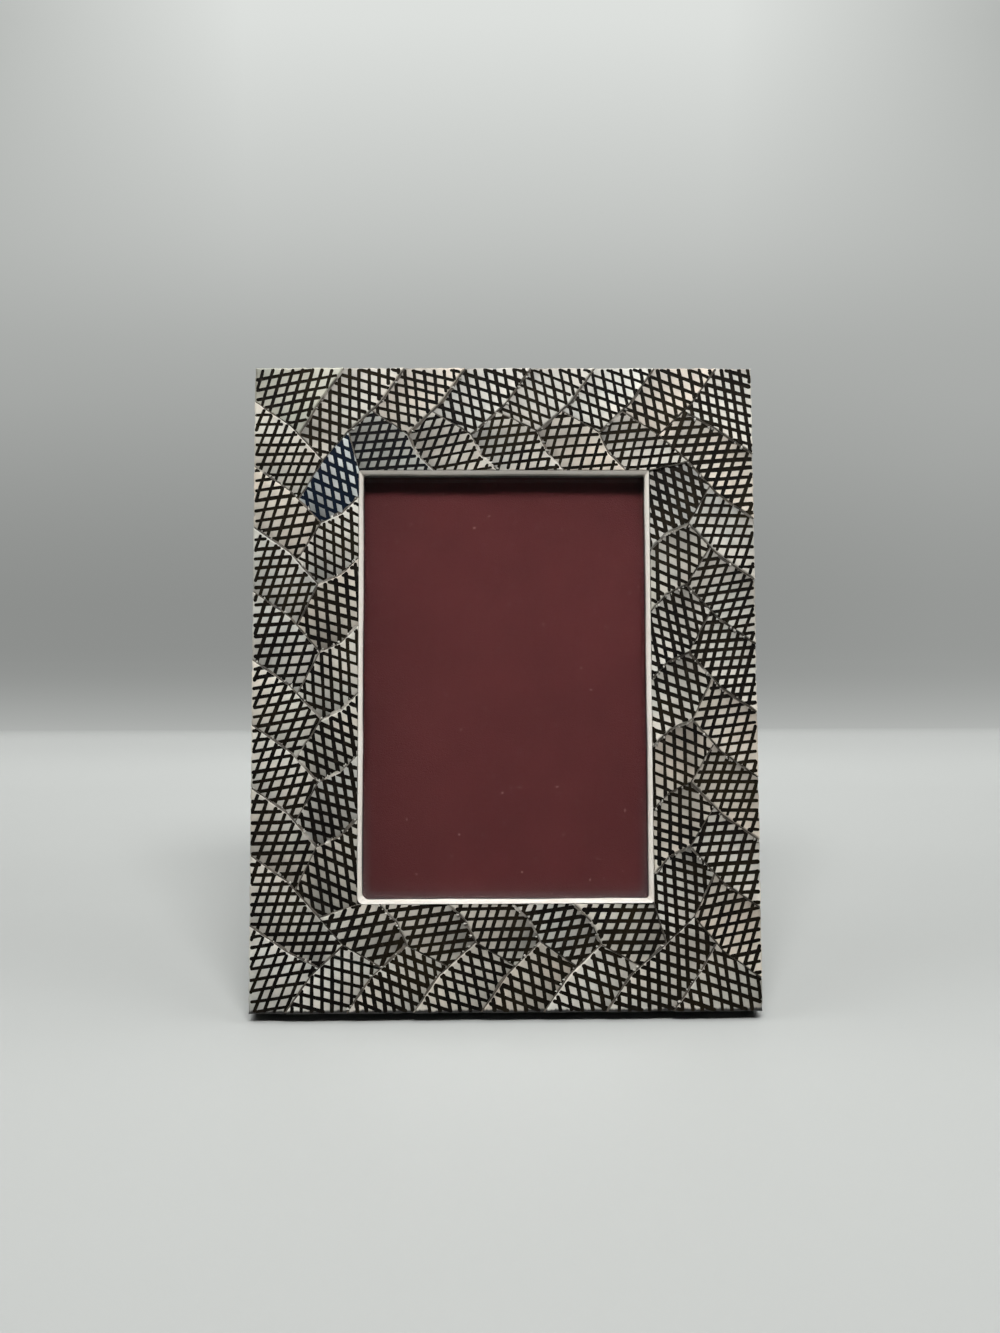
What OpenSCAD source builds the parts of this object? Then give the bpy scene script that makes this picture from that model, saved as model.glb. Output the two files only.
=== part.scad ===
// Inlaid picture frame that stands on its lower back edge and on a hinged strut.
// Each rail is drawn in its own frame: x runs inward from the outer edge, y runs from the
// face to the back, and -z runs along the rail, counter-clockwise round the face.

/* [Frame] */
// Overall width of the frame
frame_w = 165; // [150:1:240]
// Overall height of the frame, measured along its face
frame_h = 211; // [190:1:300]
// Width of each rail, from the outer edge to the sight opening
rail_w = 36; // [33:0.5:42]
// Thickness of the rebate lip behind the inlay
lip_t = 2.8; // [2:0.1:6]
// How far the rebate reaches outward past the sight opening
rebate_w = 7; // [4:0.5:8]
// Backward lean of the standing frame in degrees
lean = 12; // [9:0.5:15]

/* [Inlay] */
// Thickness of a bone tile at its high edge
tile_t = 2.3; // [2:0.1:4]
// Thickness of the filler bed under the tiles
bed_t = 0.6; // [0.4:0.1:1.5]
// Width of the filled joint between two tiles
joint_w = 0.4; // [0.2:0.05:0.8]
// How deep the filler lies below the highest tile faces
filler_drop = 0.9; // [0.5:0.1:1.3]
// Wanted spacing of the tiles along a rail
tile_pitch = 21.3; // [17:0.1:28]
// Distance from a rail's start to its first seam
first_seam = 11; // [8:0.5:14]
// Distance from the last seam to the rail's end
last_seam = 29; // [25:0.5:33]
// How far the tile tips reach in from the outer edge
tip_reach = 22; // [19:0.5:25]
// How far a tip lies along the rail from the outer end of its seam
tip_lead = 19.5; // [16:0.5:22]
// How far an inner seam runs back along the rail from its tip
inner_back = 9; // [5:0.5:12]
// Tilt of the tile faces in degrees
tile_tilt = 2.4; // [1:0.1:3]
// Hand-cut unevenness of the seams
seam_jitter = 0.7; // [0:0.1:1]
// Width of the bead round the sight opening
bead_w = 1.5; // [1.2:0.1:2.3]
// How deep the bead lies below the highest tile faces
bead_drop = 0.3; // [0.2:0.1:0.5]
// Thickness of the edge strips on the outer sides
edge_strip_t = 1.6; // [1:0.1:3]
// Wanted length of one piece of edge strip
edge_piece = 54; // [35:1:80]
// Width of the joint between two pieces of edge strip
edge_joint = 0.3; // [0.2:0.05:0.5]

/* [Glass and back] */
// Thickness of the glass
glass_t = 2; // [1.5:0.1:3]
// Play of the glass and the card in the rebate, each side
glass_play = 0.5; // [0.3:0.1:1.5]
// Room for a print between the glass and the card
print_gap = 0.3; // [0.2:0.05:0.6]
// Thickness of the velvet on the card and the panel
velvet_t = 0.5; // [0.3:0.1:1]
// Thickness of the display card
card_t = 1.5; // [1:0.1:3]
// Thickness of the back panel's board
board_t = 5; // [3:0.1:8]
// Play of the covered back panel in the rebate, each side
panel_play = 0.3; // [0.2:0.1:1]
// How far the back panel lies below the back of the rails
panel_set_in = 0.5; // [0.3:0.1:1.5]
// Corner radius of the card and the panel
card_corner = 3; // [1:0.5:6]
// Length of each leg of a V-nail
nail_leg = 7; // [5:0.5:9]
// Thickness of a V-nail
nail_t = 0.6; // [0.4:0.1:1]
// How deep a V-nail is driven
nail_depth = 7; // [4:0.5:9]

/* [Strut] */
// Opening angle of the strut in degrees
strut_open = 23; // [20:0.5:26]
// Height of the hinge axis above the frame's lower edge
hinge_h = 142; // [120:1:155]
// Width of the strut at its top
strut_top_w = 27; // [25:1:40]
// Width of the strut at its foot
strut_foot_w = 48; // [35:1:70]
// Thickness of the strut's board
strut_board_t = 2.1; // [1.5:0.1:4]
// Gap between the flat strut and the panel
strut_gap = 0.3; // [0.3:0.1:1]
// Thickness of the hinge leaves
leaf_t = 0.8; // [0.6:0.1:1.2]
// Length of each hinge leaf, from the pin
leaf_l = 16; // [13:0.5:22]
// Width of the hinge
hinge_w = 24; // [18:1:25]
// Radius of the hinge pin
pin_r = 1; // [0.7:0.05:1.2]
// Distance from the hinge axis to the ribbon stay, along the strut
stay_reach = 92; // [70:1:110]
// Width of the ribbon stay
stay_w = 10; // [6:0.5:16]
// Thickness of the ribbon
stay_t = 0.5; // [0.3:0.1:0.8]
// Length of the tacked tabs of the ribbon
stay_tab = 9; // [7:0.5:14]

/* [Turn buttons] */
// Distance between the upper and the lower turn buttons
button_spread = 92; // [70:1:120]
// Width of a turn button
button_w = 7.5; // [6:0.5:10]
// Reach of a turn button from its screw
button_reach = 13; // [11:0.5:16]
// Thickness of a turn button
button_t = 1; // [0.8:0.1:2]
// Distance from a turn button's screw to the rebate
button_inset = 5.5; // [5:0.5:8]
// Radius of the screws' shanks
screw_r = 1.4; // [1:0.1:1.8]
// Depth of the screws in the wood
screw_depth = 8; // [5:0.5:9]

/* [Hanger] */
// Distance from the top edge to the eye of the hanger
hanger_drop = 16; // [14:0.5:18]
// Radius of the hanging ring along its wire
ring_r = 9; // [8:0.5:10]
// Radius of the ring's wire
wire_r = 0.95; // [0.7:0.05:1.2]
// Width of the hanger's strap
strap_w = 8; // [6:0.5:11]
// Length of the strap, from the eye
strap_l = 11; // [10:0.5:12]
// Thickness of the strap
strap_t = 0.8; // [0.6:0.1:1.2]

/* [Hidden] */
$fn = 48;

// Rails, by number
LEFT = 0;
BOTTOM = 1;
RIGHT = 2;
TOP = 3;

// Radial clearances: a turning fit, and a shank in its hole
run_fit = 0.06;
set_fit = 0.03;
// How far a cutting shape runs past the face that it cuts
over = 1;

// Depths below the highest tile faces, from the front to the back
wood_y = tile_t + bed_t;
glass_y = wood_y + lip_t;
card_face_y = glass_y + glass_t + print_gap;
card_y = card_face_y + velvet_t;
panel_y = card_y + card_t;
panel_back_y = panel_y + board_t + velvet_t;
frame_d = panel_back_y + panel_set_in;

// Tile field
field_w = rail_w - bead_w;
mid_reach = 0.55 * tip_reach;
mid_lead = 0.44 * tip_lead;
return_share = 0.25;
inner_mid_in = 0.55;
inner_mid_back = 0.35;
corner_ease = 0.8;
tilt_jitter = 0.5;
grid_edge = 0.3;

// Sizes of the pieces in the rebate
rebate_edge = rail_w - rebate_w;
rebate_wide = frame_w - 2 * rebate_edge;
rebate_high = frame_h - 2 * rebate_edge;
nail_places = [0.3, 0.7];
nail_turn = 40;

// Hinge and strut, measured from the hinge axis
strut_t = strut_board_t + 2 * velvet_t;
knuckle_r = (strut_gap + strut_t + leaf_t) / 2;
hinge_y = panel_back_y + knuckle_r;
strut_in = strut_gap - knuckle_r;
strut_out = strut_in + strut_t;
strut_end_gap = 0.6;
strut_start = knuckle_r + strut_end_gap;
strut_swing = strut_open - lean;
knuckle_gap = 0.3;
knuckle_play = 0.25;
centre_knuckle = hinge_w / 4;
rivet_r = 1.2;
rivet_head_r = 1.9;
rivet_head_t = 0.7;
rivet_x = 0.3 * hinge_w;
rivet_z = 0.6 * leaf_l;
rivet_depth = 3;
tack_r = 0.8;
tack_head_r = 2.3;
tack_head_t = 0.6;
tack_depth = 1.8;
tack_at = 0.6 * stay_tab;

// Height at which the ribbon meets the panel, and where its far end lies
stay_z = hinge_h - stay_reach * cos(strut_open) + strut_in * sin(strut_open);
stay_end_y = hinge_y + stay_reach * sin(strut_open) + strut_in * cos(strut_open);

// Turn buttons and hanger
button_gap = 0.2;
button_x = frame_w / 2 - rebate_edge + button_inset;
head_r = 1.9 * screw_r;
head_t = 0.9 * screw_r;
slot_w = 0.6;
eye_r = wire_r + run_fit + strap_t;
eye_y = frame_d + eye_r;
eye_z = frame_h - hanger_drop;
strap_screw_z = 0.62 * strap_l;

// Where the pivot edge lies, so that the origin is under the middle of the whole object
hinge_world_y = (hinge_y - frame_d) * cos(lean) + hinge_h * sin(lean);
hinge_world_z = hinge_h * cos(lean) - (hinge_y - frame_d) * sin(lean);
foot_reach = (hinge_world_z + strut_out * sin(strut_swing)) / cos(strut_swing);
back_y = hinge_world_y + foot_reach * sin(strut_swing) + strut_out * cos(strut_swing);
front_y = -frame_d * cos(lean);
pivot_y = -(front_y + back_y) / 2;

// Places the leaning frame on the ground, with its lower back edge as the pivot
module leaned() {
  translate([0, pivot_y, 0])
    rotate([-lean, 0, 0])
      translate([0, -frame_d, 0])
        children();
}

// Places what is drawn from the hinge axis down, as the open strut
module on_strut() {
  leaned()
    translate([0, hinge_y, hinge_h])
      rotate([strut_open, 0, 0])
        children();
}

// Places what is drawn in the frame of one rail
module on_rail(rail) {
  corner_x = rail < RIGHT ? -frame_w / 2 : frame_w / 2;
  corner_z = rail == LEFT || rail == TOP ? frame_h : 0;
  leaned()
    translate([corner_x, 0, corner_z])
      rotate([0, -90 * rail, 0])
        children();
}

// A flat plate in the plane of the face, between two depths, centred on the face
module plate(wide, high, front, back, corner = 0) {
  translate([0, back, frame_h / 2])
    rotate([90, 0, 0])
      linear_extrude(back - front)
        rounded(wide, high, corner);
}

module rounded(wide, high, corner) {
  if (corner > 0) {
    square([wide - 2 * corner, high], center = true);
    square([wide, high - 2 * corner], center = true);
    for (sx = [-1, 1], sy = [-1, 1])
      translate([sx * (wide / 2 - corner), sy * (high / 2 - corner)])
        circle(corner);
  } else {
    square([wide, high], center = true);
  }
}

// A rod along the depth of the frame
module rod(radius, front, back) {
  translate([0, back, 0])
    rotate([90, 0, 0])
      cylinder(r = radius, h = back - front);
}

// Rails

function rail_len(rail) = rail % 2 == 0 ? frame_h : frame_w;

function next_rail(rail) = (rail + 1) % 4;

function last_rail(rail) = (rail + 3) % 4;

// Mitred length of a rail, between two depths
module mitred(rail, front, back) {
  long = rail_len(rail);
  deep = rail_w + over;
  translate([0, back, 0])
    rotate([90, 0, 0])
      linear_extrude(back - front)
        polygon([[0, 0], [0, -long], [deep, deep - long], [deep, -deep]]);
}

module rail_profile() {
  polygon([
    [edge_strip_t, wood_y],
    [rail_w, wood_y],
    [rail_w, glass_y],
    [rebate_edge, glass_y],
    [rebate_edge, frame_d],
    [edge_strip_t, frame_d]
  ]);
}

module rail_core(rail) {
  color([0.09, 0.07, 0.06])
    difference() {
      on_rail(rail)
        intersection() {
          translate([0, 0, -rail_len(rail)])
            linear_extrude(rail_len(rail))
              rail_profile();
          mitred(rail, 0, frame_d + over);
        }
      nail_shapes();
      screw_holes();
    }
}

// V-nails, two across each mitre, driven in from the back
module v_nail() {
  translate([0, frame_d, 0])
    rotate([90, 0, 0])
      linear_extrude(nail_depth)
        for (side = [0, 1])
          mirror([0, side, 0])
            rotate([0, 0, nail_turn])
              translate([0, -nail_t / 2])
                square([nail_leg, nail_t]);
}

module nail_shapes() {
  for (rail = [LEFT : TOP], along = nail_places)
    on_rail(rail)
      translate([along * rebate_edge, 0, -along * rebate_edge])
        rotate([0, 45, 0])
          v_nail();
}

module corner_nails() {
  color([0.62, 0.62, 0.64])
    nail_shapes();
}

// Tile layout. A point is [distance in from the outer edge, distance along the rail].

function seams(rail) = max(3, round((rail_len(rail) - first_seam - last_seam) / tile_pitch));

function spacing(rail) = (rail_len(rail) - first_seam - last_seam) / seams(rail);

function uneven(rail, i, which) = seam_jitter * sin(97 * i + 131 * rail + 53 * which + 20);

function seam_along(rail, i) = first_seam + i * spacing(rail) + uneven(rail, i, 0);

// Outer end, middle and inner tip of a seam
function seam_out(rail, i) = [-joint_w / 2, seam_along(rail, i)];

function seam_mid(rail, i) = [mid_reach, seam_along(rail, i) + mid_lead];

function free_tip(rail, i) =
  [tip_reach + uneven(rail, i, 1), seam_along(rail, i) + tip_lead + uneven(rail, i, 2)];

// Where the tile before a seam turns back and meets it
function seam_meet(rail, i) =
  seam_mid(rail, i) + return_share * (free_tip(rail, i) - seam_mid(rail, i));

// A point of the next or the last rail, as this rail sees it
function from_next(rail, p) = [p[1], rail_len(rail) - p[0]];

function from_last(rail, p) = [rail_len(last_rail(rail)) - p[1], p[0]];

function tip(rail, i) =
  i < seams(rail) ? free_tip(rail, i) : from_next(rail, seam_meet(next_rail(rail), 0));

// Inner seam, from its tip to the bead
function bead_end(rail, i) =
  let (at = i < 1 ? field_w
          : i >= seams(rail) - 1 ? rail_len(rail) - field_w
          : tip(rail, i)[1] - inner_back)
  [field_w + joint_w / 2, at];

function inner_mid(rail, i) =
  let (t = tip(rail, i), b = bead_end(rail, i))
  [t[0] + inner_mid_in * (b[0] - t[0]), t[1] + inner_mid_back * (b[1] - t[1])];

function outer_tile(rail, i) =
  i < seams(rail) - 1
  ? [seam_out(rail, i), seam_mid(rail, i), tip(rail, i),
     seam_meet(rail, i + 1), seam_mid(rail, i + 1), seam_out(rail, i + 1)]
  : [seam_out(rail, i), seam_mid(rail, i), tip(rail, i),
     from_next(rail, free_tip(next_rail(rail), 0)), tip(rail, i + 1),
     seam_mid(rail, i + 1), seam_out(rail, i + 1)];

function corner_tile(rail) =
  let (n = seams(rail), next = next_rail(rail))
  [seam_out(rail, n), seam_mid(rail, n), tip(rail, n),
   from_next(rail, seam_mid(next, 0)), from_next(rail, seam_out(next, 0)),
   [-joint_w / 2, rail_len(rail) + joint_w / 2]];

function inner_start(rail, i) =
  i == 1
  ? [tip(rail, 0), from_last(rail, tip(last_rail(rail), seams(last_rail(rail)) - 1)),
     bead_end(rail, 0)]
  : [tip(rail, i - 1), inner_mid(rail, i - 1), bead_end(rail, i - 1)];

function inner_stop(rail, i) =
  i == seams(rail) - 1
  ? [bead_end(rail, i), tip(rail, i)]
  : [bead_end(rail, i), inner_mid(rail, i), tip(rail, i)];

function inner_tile(rail, i) =
  concat(inner_start(rail, i), inner_stop(rail, i), [seam_meet(rail, i)]);

// Outline drawn in by the same distance on every side
function turn(points) =
  let (n = len(points))
  [for (i = 0, sum = 0; i <= n;
        sum = sum + (i < n ? cross(points[i], points[(i + 1) % n]) : 0), i = i + 1)
    if (i == n) sign(sum)][0];

function side_normal(a, b, way) = way * [a[1] - b[1], b[0] - a[0]] / norm(b - a);

function drawn_in(points, by) =
  let (n = len(points), way = turn(points))
  [for (i = [0 : n - 1])
    let (
      here = points[i],
      before = side_normal(points[(i + n - 1) % n], here, way),
      after = side_normal(here, points[(i + 1) % n], way)
    )
    here + by * (before + after) / (1 + before * after)];

// The block that a tile is cut from, and the pocket that it sits in
module tile_block(points, front) {
  translate([0, tile_t, 0])
    rotate([90, 0, 0])
      linear_extrude(tile_t - front)
        polygon([for (p = drawn_in(points, joint_w / 2)) [p[0], -p[1]]]);
}

// One tile: its face falls away from the line between two points of its high edge
module tile(points, high_a, high_b, tilt) {
  run = high_b - high_a;
  reach = 2 * rail_w;
  difference() {
    tile_block(points, 0);
    translate([high_a[0], 0, -high_a[1]])
      rotate([0, atan2(run[1], run[0]), 0])
        rotate([tilt, 0, 0])
          translate([-reach, -2 * tile_t, -reach])
            cube([2 * reach, 2 * tile_t, 2 * reach]);
  }
}

module outer_course(rail) {
  last = seams(rail) - 1;
  on_rail(rail) {
    for (i = [0 : last])
      tile(outer_tile(rail, i), seam_out(rail, i), tip(rail, i),
           tile_tilt + tilt_jitter * uneven(rail, i, 3));
    tile(corner_tile(rail), seam_out(rail, last + 1), tip(rail, last + 1),
         corner_ease * tile_tilt);
  }
}

module inner_course(rail) {
  on_rail(rail)
    for (i = [1 : seams(rail) - 1])
      tile(inner_tile(rail, i), tip(rail, i - 1), bead_end(rail, i - 1),
           tile_tilt + tilt_jitter * uneven(rail, i, 4));
}

module tile_pockets(rail) {
  on_rail(rail) {
    for (i = [0 : seams(rail) - 1])
      tile_block(outer_tile(rail, i), -over);
    tile_block(corner_tile(rail), -over);
    for (i = [1 : seams(rail) - 1])
      tile_block(inner_tile(rail, i), -over);
  }
}

module inlay_outer(rail) {
  color([0.84, 0.80, 0.73])
    outer_course(rail);
}

module inlay_inner(rail) {
  color([0.80, 0.76, 0.70])
    inner_course(rail);
}

// Filler: a bed under the tiles, and ridges between them
module joint_filler() {
  grid_in = 2 * (field_w - grid_edge);
  color([0.72, 0.68, 0.60])
    difference() {
      leaned()
        difference() {
          union() {
            plate(frame_w, frame_h, tile_t, wood_y);
            plate(frame_w - 2 * grid_edge, frame_h - 2 * grid_edge, filler_drop, wood_y);
          }
          plate(frame_w - 2 * field_w, frame_h - 2 * field_w, -over, wood_y + over);
          plate(frame_w - grid_in, frame_h - grid_in, -over, tile_t);
        }
      for (rail = [LEFT : TOP])
        tile_pockets(rail);
    }
}

// Bead: a quarter-round strip against the tiles
module bead_profile() {
  translate([field_w, bead_drop + bead_w])
    intersection() {
      circle(bead_w);
      translate([0, -bead_w])
        square(bead_w);
    }
  translate([field_w, bead_drop + bead_w])
    square([bead_w, wood_y - bead_drop - bead_w]);
}

module bead(rail) {
  color([0.90, 0.87, 0.80])
    on_rail(rail)
      intersection() {
        translate([0, 0, -rail_len(rail)])
          linear_extrude(rail_len(rail))
            bead_profile();
        mitred(rail, -over, frame_d);
      }
}

// Edge strips, in lengths, mitred at the corners
module edge_strip(rail) {
  count = max(2, round(rail_len(rail) / edge_piece));
  piece = rail_len(rail) / count;
  color([0.86, 0.82, 0.74])
    on_rail(rail)
      intersection() {
        for (i = [0 : count - 1])
          translate([0, wood_y, -(i + 1) * piece + edge_joint / 2])
            cube([edge_strip_t, frame_d - wood_y, piece - edge_joint]);
        mitred(rail, 0, frame_d + over);
      }
}

// Glass, card and panel

module glass_pane() {
  color([0.75, 0.85, 0.85, 0.35])
    leaned()
      plate(rebate_wide - 2 * glass_play, rebate_high - 2 * glass_play,
            glass_y, glass_y + glass_t);
}

module display_velvet() {
  color([0.32, 0.13, 0.13])
    leaned()
      plate(rebate_wide - 2 * glass_play, rebate_high - 2 * glass_play,
            card_face_y, card_y, card_corner);
}

module display_card() {
  color([0.55, 0.47, 0.36])
    leaned()
      plate(rebate_wide - 2 * glass_play, rebate_high - 2 * glass_play,
            card_y, panel_y, card_corner);
}

module panel_board_shape() {
  margin = panel_play + velvet_t;
  plate(rebate_wide - 2 * margin, rebate_high - 2 * margin,
        panel_y, panel_y + board_t, card_corner - velvet_t);
}

module back_panel() {
  color([0.52, 0.40, 0.27])
    difference() {
      leaned()
        panel_board_shape();
      panel_rivet_shapes(set_fit);
      panel_tack_shape(set_fit);
    }
}

module panel_velvet() {
  color([0.30, 0.12, 0.12])
    difference() {
      leaned()
        difference() {
          plate(rebate_wide - 2 * panel_play, rebate_high - 2 * panel_play,
                panel_y, panel_back_y, card_corner);
          panel_board_shape();
        }
      panel_rivet_shapes(set_fit);
      panel_tack_shape(set_fit);
    }
}

// Strut: a flared board in a velvet sleeve, cut level at the foot

module strut_outline(shrink) {
  long = foot_reach + strut_foot_w;
  flare = (strut_foot_w - strut_top_w) / 2 / (foot_reach - strut_start);
  top_half = strut_top_w / 2 - shrink;
  low_half = top_half + flare * (long - strut_start);
  polygon([
    [-top_half, -strut_start],
    [top_half, -strut_start],
    [low_half, -long],
    [-low_half, -long]
  ]);
}

module strut_slab(near, far, shrink) {
  translate([0, far, 0])
    rotate([90, 0, 0])
      linear_extrude(far - near)
        strut_outline(shrink);
}

module above_ground(height = 0) {
  intersection() {
    children();
    translate([-frame_w, -frame_h, height])
      cube([2 * frame_w, 2 * frame_h, 2 * frame_h]);
  }
}

module strut_core(foot) {
  above_ground(foot)
    on_strut()
      strut_slab(strut_in + velvet_t, strut_out - velvet_t, velvet_t);
}

module strut_board() {
  color([0.52, 0.40, 0.27])
    difference() {
      strut_core(velvet_t);
      strut_rivet_shapes(set_fit);
      strut_tack_shape(set_fit);
    }
}

module strut_velvet() {
  color([0.30, 0.12, 0.12])
    difference() {
      above_ground()
        on_strut()
          strut_slab(strut_in, strut_out, 0);
      strut_core(velvet_t);
      strut_rivet_shapes(set_fit);
      strut_tack_shape(set_fit);
    }
}

// Hinge

module hinge_bar(radius, from_x, to_x) {
  translate([from_x, 0, 0])
    rotate([0, 90, 0])
      cylinder(r = radius, h = to_x - from_x);
}

module hinge_fixed_leaf() {
  notch = centre_knuckle + knuckle_gap / 2;
  start = knuckle_r + knuckle_gap;
  color([0.70, 0.62, 0.42])
    difference() {
      leaned()
        translate([0, hinge_y, hinge_h])
          difference() {
            union() {
              for (side = [0, 1])
                mirror([side, 0, 0]) {
                  hinge_bar(knuckle_r, notch, hinge_w / 2);
                  translate([notch, -knuckle_r, 0])
                    cube([hinge_w / 2 - notch, leaf_t, start]);
                }
              translate([-hinge_w / 2, -knuckle_r, start])
                cube([hinge_w, leaf_t, leaf_l - start]);
            }
            hinge_bar(pin_r + set_fit, -hinge_w, hinge_w);
          }
      panel_rivet_shapes(set_fit);
    }
}

module hinge_moving_leaf() {
  half = centre_knuckle - knuckle_gap / 2;
  start = knuckle_r + knuckle_gap;
  color([0.70, 0.62, 0.42])
    difference() {
      on_strut()
        difference() {
          union() {
            hinge_bar(knuckle_r - knuckle_play, -half, half);
            translate([-half, strut_out, -start])
              cube([2 * half, leaf_t, start]);
            translate([-hinge_w / 2, strut_out, -leaf_l])
              cube([hinge_w, leaf_t, leaf_l - start]);
          }
          hinge_bar(pin_r + run_fit, -hinge_w, hinge_w);
        }
      strut_rivet_shapes(set_fit);
    }
}

module hinge_pin() {
  color([0.66, 0.66, 0.68])
    leaned()
      translate([0, hinge_y, hinge_h])
        hinge_bar(pin_r, -hinge_w / 2, hinge_w / 2);
}

// Rivets: heads on the leaves, shanks in the boards
module panel_rivet_shapes(grow) {
  seat = panel_back_y + leaf_t;
  leaned()
    for (side = [-1, 1])
      translate([side * rivet_x, 0, hinge_h + rivet_z]) {
        rod(rivet_r + grow, panel_y + board_t - rivet_depth - grow, seat);
        rod(rivet_head_r, seat, seat + rivet_head_t);
      }
}

module strut_rivet_shapes(grow) {
  seat = strut_out + leaf_t;
  on_strut()
    for (side = [-1, 1])
      translate([side * rivet_x, 0, -rivet_z]) {
        rod(rivet_r + grow, strut_in, seat);
        rod(rivet_head_r, seat, seat + rivet_head_t);
      }
}

module hinge_panel_rivets() {
  color([0.74, 0.66, 0.46])
    panel_rivet_shapes(0);
}

module hinge_strut_rivets() {
  color([0.74, 0.66, 0.46])
    strut_rivet_shapes(0);
}

// Ribbon stay: a tab on the panel, the taut span, and a tab on the strut

module stay_ribbon() {
  color([0.26, 0.10, 0.10])
    difference() {
      union() {
        leaned() {
          translate([-stay_w / 2, panel_back_y, stay_z - stay_tab])
            cube([stay_w, stay_t, stay_tab]);
          translate([-stay_w / 2, panel_back_y, stay_z - stay_t])
            cube([stay_w, stay_end_y - panel_back_y, stay_t]);
        }
        on_strut()
          translate([-stay_w / 2, strut_in - stay_t, -stay_reach - stay_tab])
            cube([stay_w, stay_t, stay_tab]);
      }
      panel_tack_shape(set_fit);
      strut_tack_shape(set_fit);
    }
}

module panel_tack_shape(grow) {
  seat = panel_back_y + stay_t;
  leaned()
    translate([0, 0, stay_z - tack_at]) {
      rod(tack_r + grow, panel_y + board_t - tack_depth - grow, seat);
      rod(tack_head_r, seat, seat + tack_head_t);
    }
}

module strut_tack_shape(grow) {
  seat = strut_in - stay_t;
  on_strut()
    translate([0, 0, -stay_reach - tack_at]) {
      rod(tack_r + grow, seat, strut_in + velvet_t + tack_depth + grow);
      rod(tack_head_r, seat - tack_head_t, seat);
    }
}

module stay_panel_tack() {
  color([0.72, 0.64, 0.44])
    panel_tack_shape(0);
}

module stay_strut_tack() {
  color([0.72, 0.64, 0.44])
    strut_tack_shape(0);
}

// Turn buttons, with side -1 or 1 across and level -1 or 1 up

module at_button(side, level) {
  leaned()
    translate([side * button_x, 0, frame_h / 2 + level * button_spread / 2])
      children();
}

module turn_button(side, level) {
  seat = frame_d + button_gap;
  far = -side * (button_reach - button_w / 2);
  color([0.74, 0.60, 0.32])
    at_button(side, level)
      difference() {
        union() {
          rod(button_w / 2, seat, seat + button_t);
          translate([far, 0, 0])
            rod(button_w / 2, seat, seat + button_t);
          translate([min(far, 0), seat, -button_w / 2])
            cube([abs(far), button_t, button_w]);
        }
        rod(screw_r + run_fit, seat - over, seat + button_t + over);
      }
}

module slotted_screw(seat, shank) {
  difference() {
    union() {
      rod(screw_r, frame_d - screw_depth, seat);
      rod(head_r, seat, seat + head_t);
    }
    translate([-head_r - over, seat + head_t / 2, -slot_w / 2])
      cube([2 * (head_r + over), head_t, slot_w]);
  }
}

module screw_holes() {
  for (side = [-1, 1], level = [-1, 1])
    at_button(side, level)
      rod(screw_r + set_fit, frame_d - screw_depth - set_fit, frame_d + over);
  leaned()
    translate([0, 0, eye_z + strap_screw_z])
      rod(screw_r + set_fit, frame_d - screw_depth - set_fit, frame_d + over);
}

module turn_button_screws() {
  color([0.78, 0.66, 0.38])
    for (side = [-1, 1], level = [-1, 1])
      at_button(side, level)
        slotted_screw(frame_d + 1.5 * button_gap + button_t);
}

// Hanger: a strap folded round the straight side of a D-shaped ring

module hanger_strap() {
  color([0.74, 0.60, 0.32])
    leaned()
      translate([0, eye_y, eye_z])
        difference() {
          union() {
            hinge_bar(eye_r, -strap_w / 2, strap_w / 2);
            translate([-strap_w / 2, -eye_r, 0])
              cube([strap_w, strap_t, strap_l]);
          }
          hinge_bar(wire_r + run_fit, -strap_w, strap_w);
          translate([0, 0, strap_screw_z])
            rod(screw_r + set_fit, -eye_r - over, 0);
        }
}

module hanger_ring() {
  color([0.78, 0.64, 0.36])
    leaned()
      translate([0, eye_y, eye_z])
        rotate([lean, 0, 0]) {
          hinge_bar(wire_r, -ring_r, ring_r);
          for (side = [-1, 1])
            translate([side * ring_r, 0, 0])
              sphere(wire_r);
          rotate([-90, 0, 0])
            rotate_extrude(angle = 180)
              translate([ring_r, 0])
                circle(wire_r);
        }
}

module hanger_screw() {
  color([0.78, 0.66, 0.38])
    leaned()
      translate([0, 0, eye_z + strap_screw_z])
        slotted_screw(frame_d + strap_t);
}

rail_core(LEFT);  // rail_left
rail_core(BOTTOM);  // rail_bottom
rail_core(RIGHT);  // rail_right
rail_core(TOP);  // rail_top
corner_nails();
joint_filler();
inlay_outer(LEFT);  // inlay_left_outer
inlay_outer(BOTTOM);  // inlay_bottom_outer
inlay_outer(RIGHT);  // inlay_right_outer
inlay_outer(TOP);  // inlay_top_outer
inlay_inner(LEFT);  // inlay_left_inner
inlay_inner(BOTTOM);  // inlay_bottom_inner
inlay_inner(RIGHT);  // inlay_right_inner
inlay_inner(TOP);  // inlay_top_inner
bead(LEFT);  // bead_left
bead(BOTTOM);  // bead_bottom
bead(RIGHT);  // bead_right
bead(TOP);  // bead_top
edge_strip(LEFT);  // edge_strip_left
edge_strip(BOTTOM);  // edge_strip_bottom
edge_strip(RIGHT);  // edge_strip_right
edge_strip(TOP);  // edge_strip_top
glass_pane();
display_velvet();
display_card();
back_panel();
panel_velvet();
strut_board();
strut_velvet();
hinge_fixed_leaf();
hinge_moving_leaf();
hinge_pin();
hinge_panel_rivets();
hinge_strut_rivets();
stay_ribbon();
stay_panel_tack();
stay_strut_tack();
turn_button(-1, 1);  // turn_button_upper_left
turn_button(1, 1);  // turn_button_upper_right
turn_button(-1, -1);  // turn_button_lower_left
turn_button(1, -1);  // turn_button_lower_right
turn_button_screws();
hanger_strap();
hanger_ring();
hanger_screw();
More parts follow.
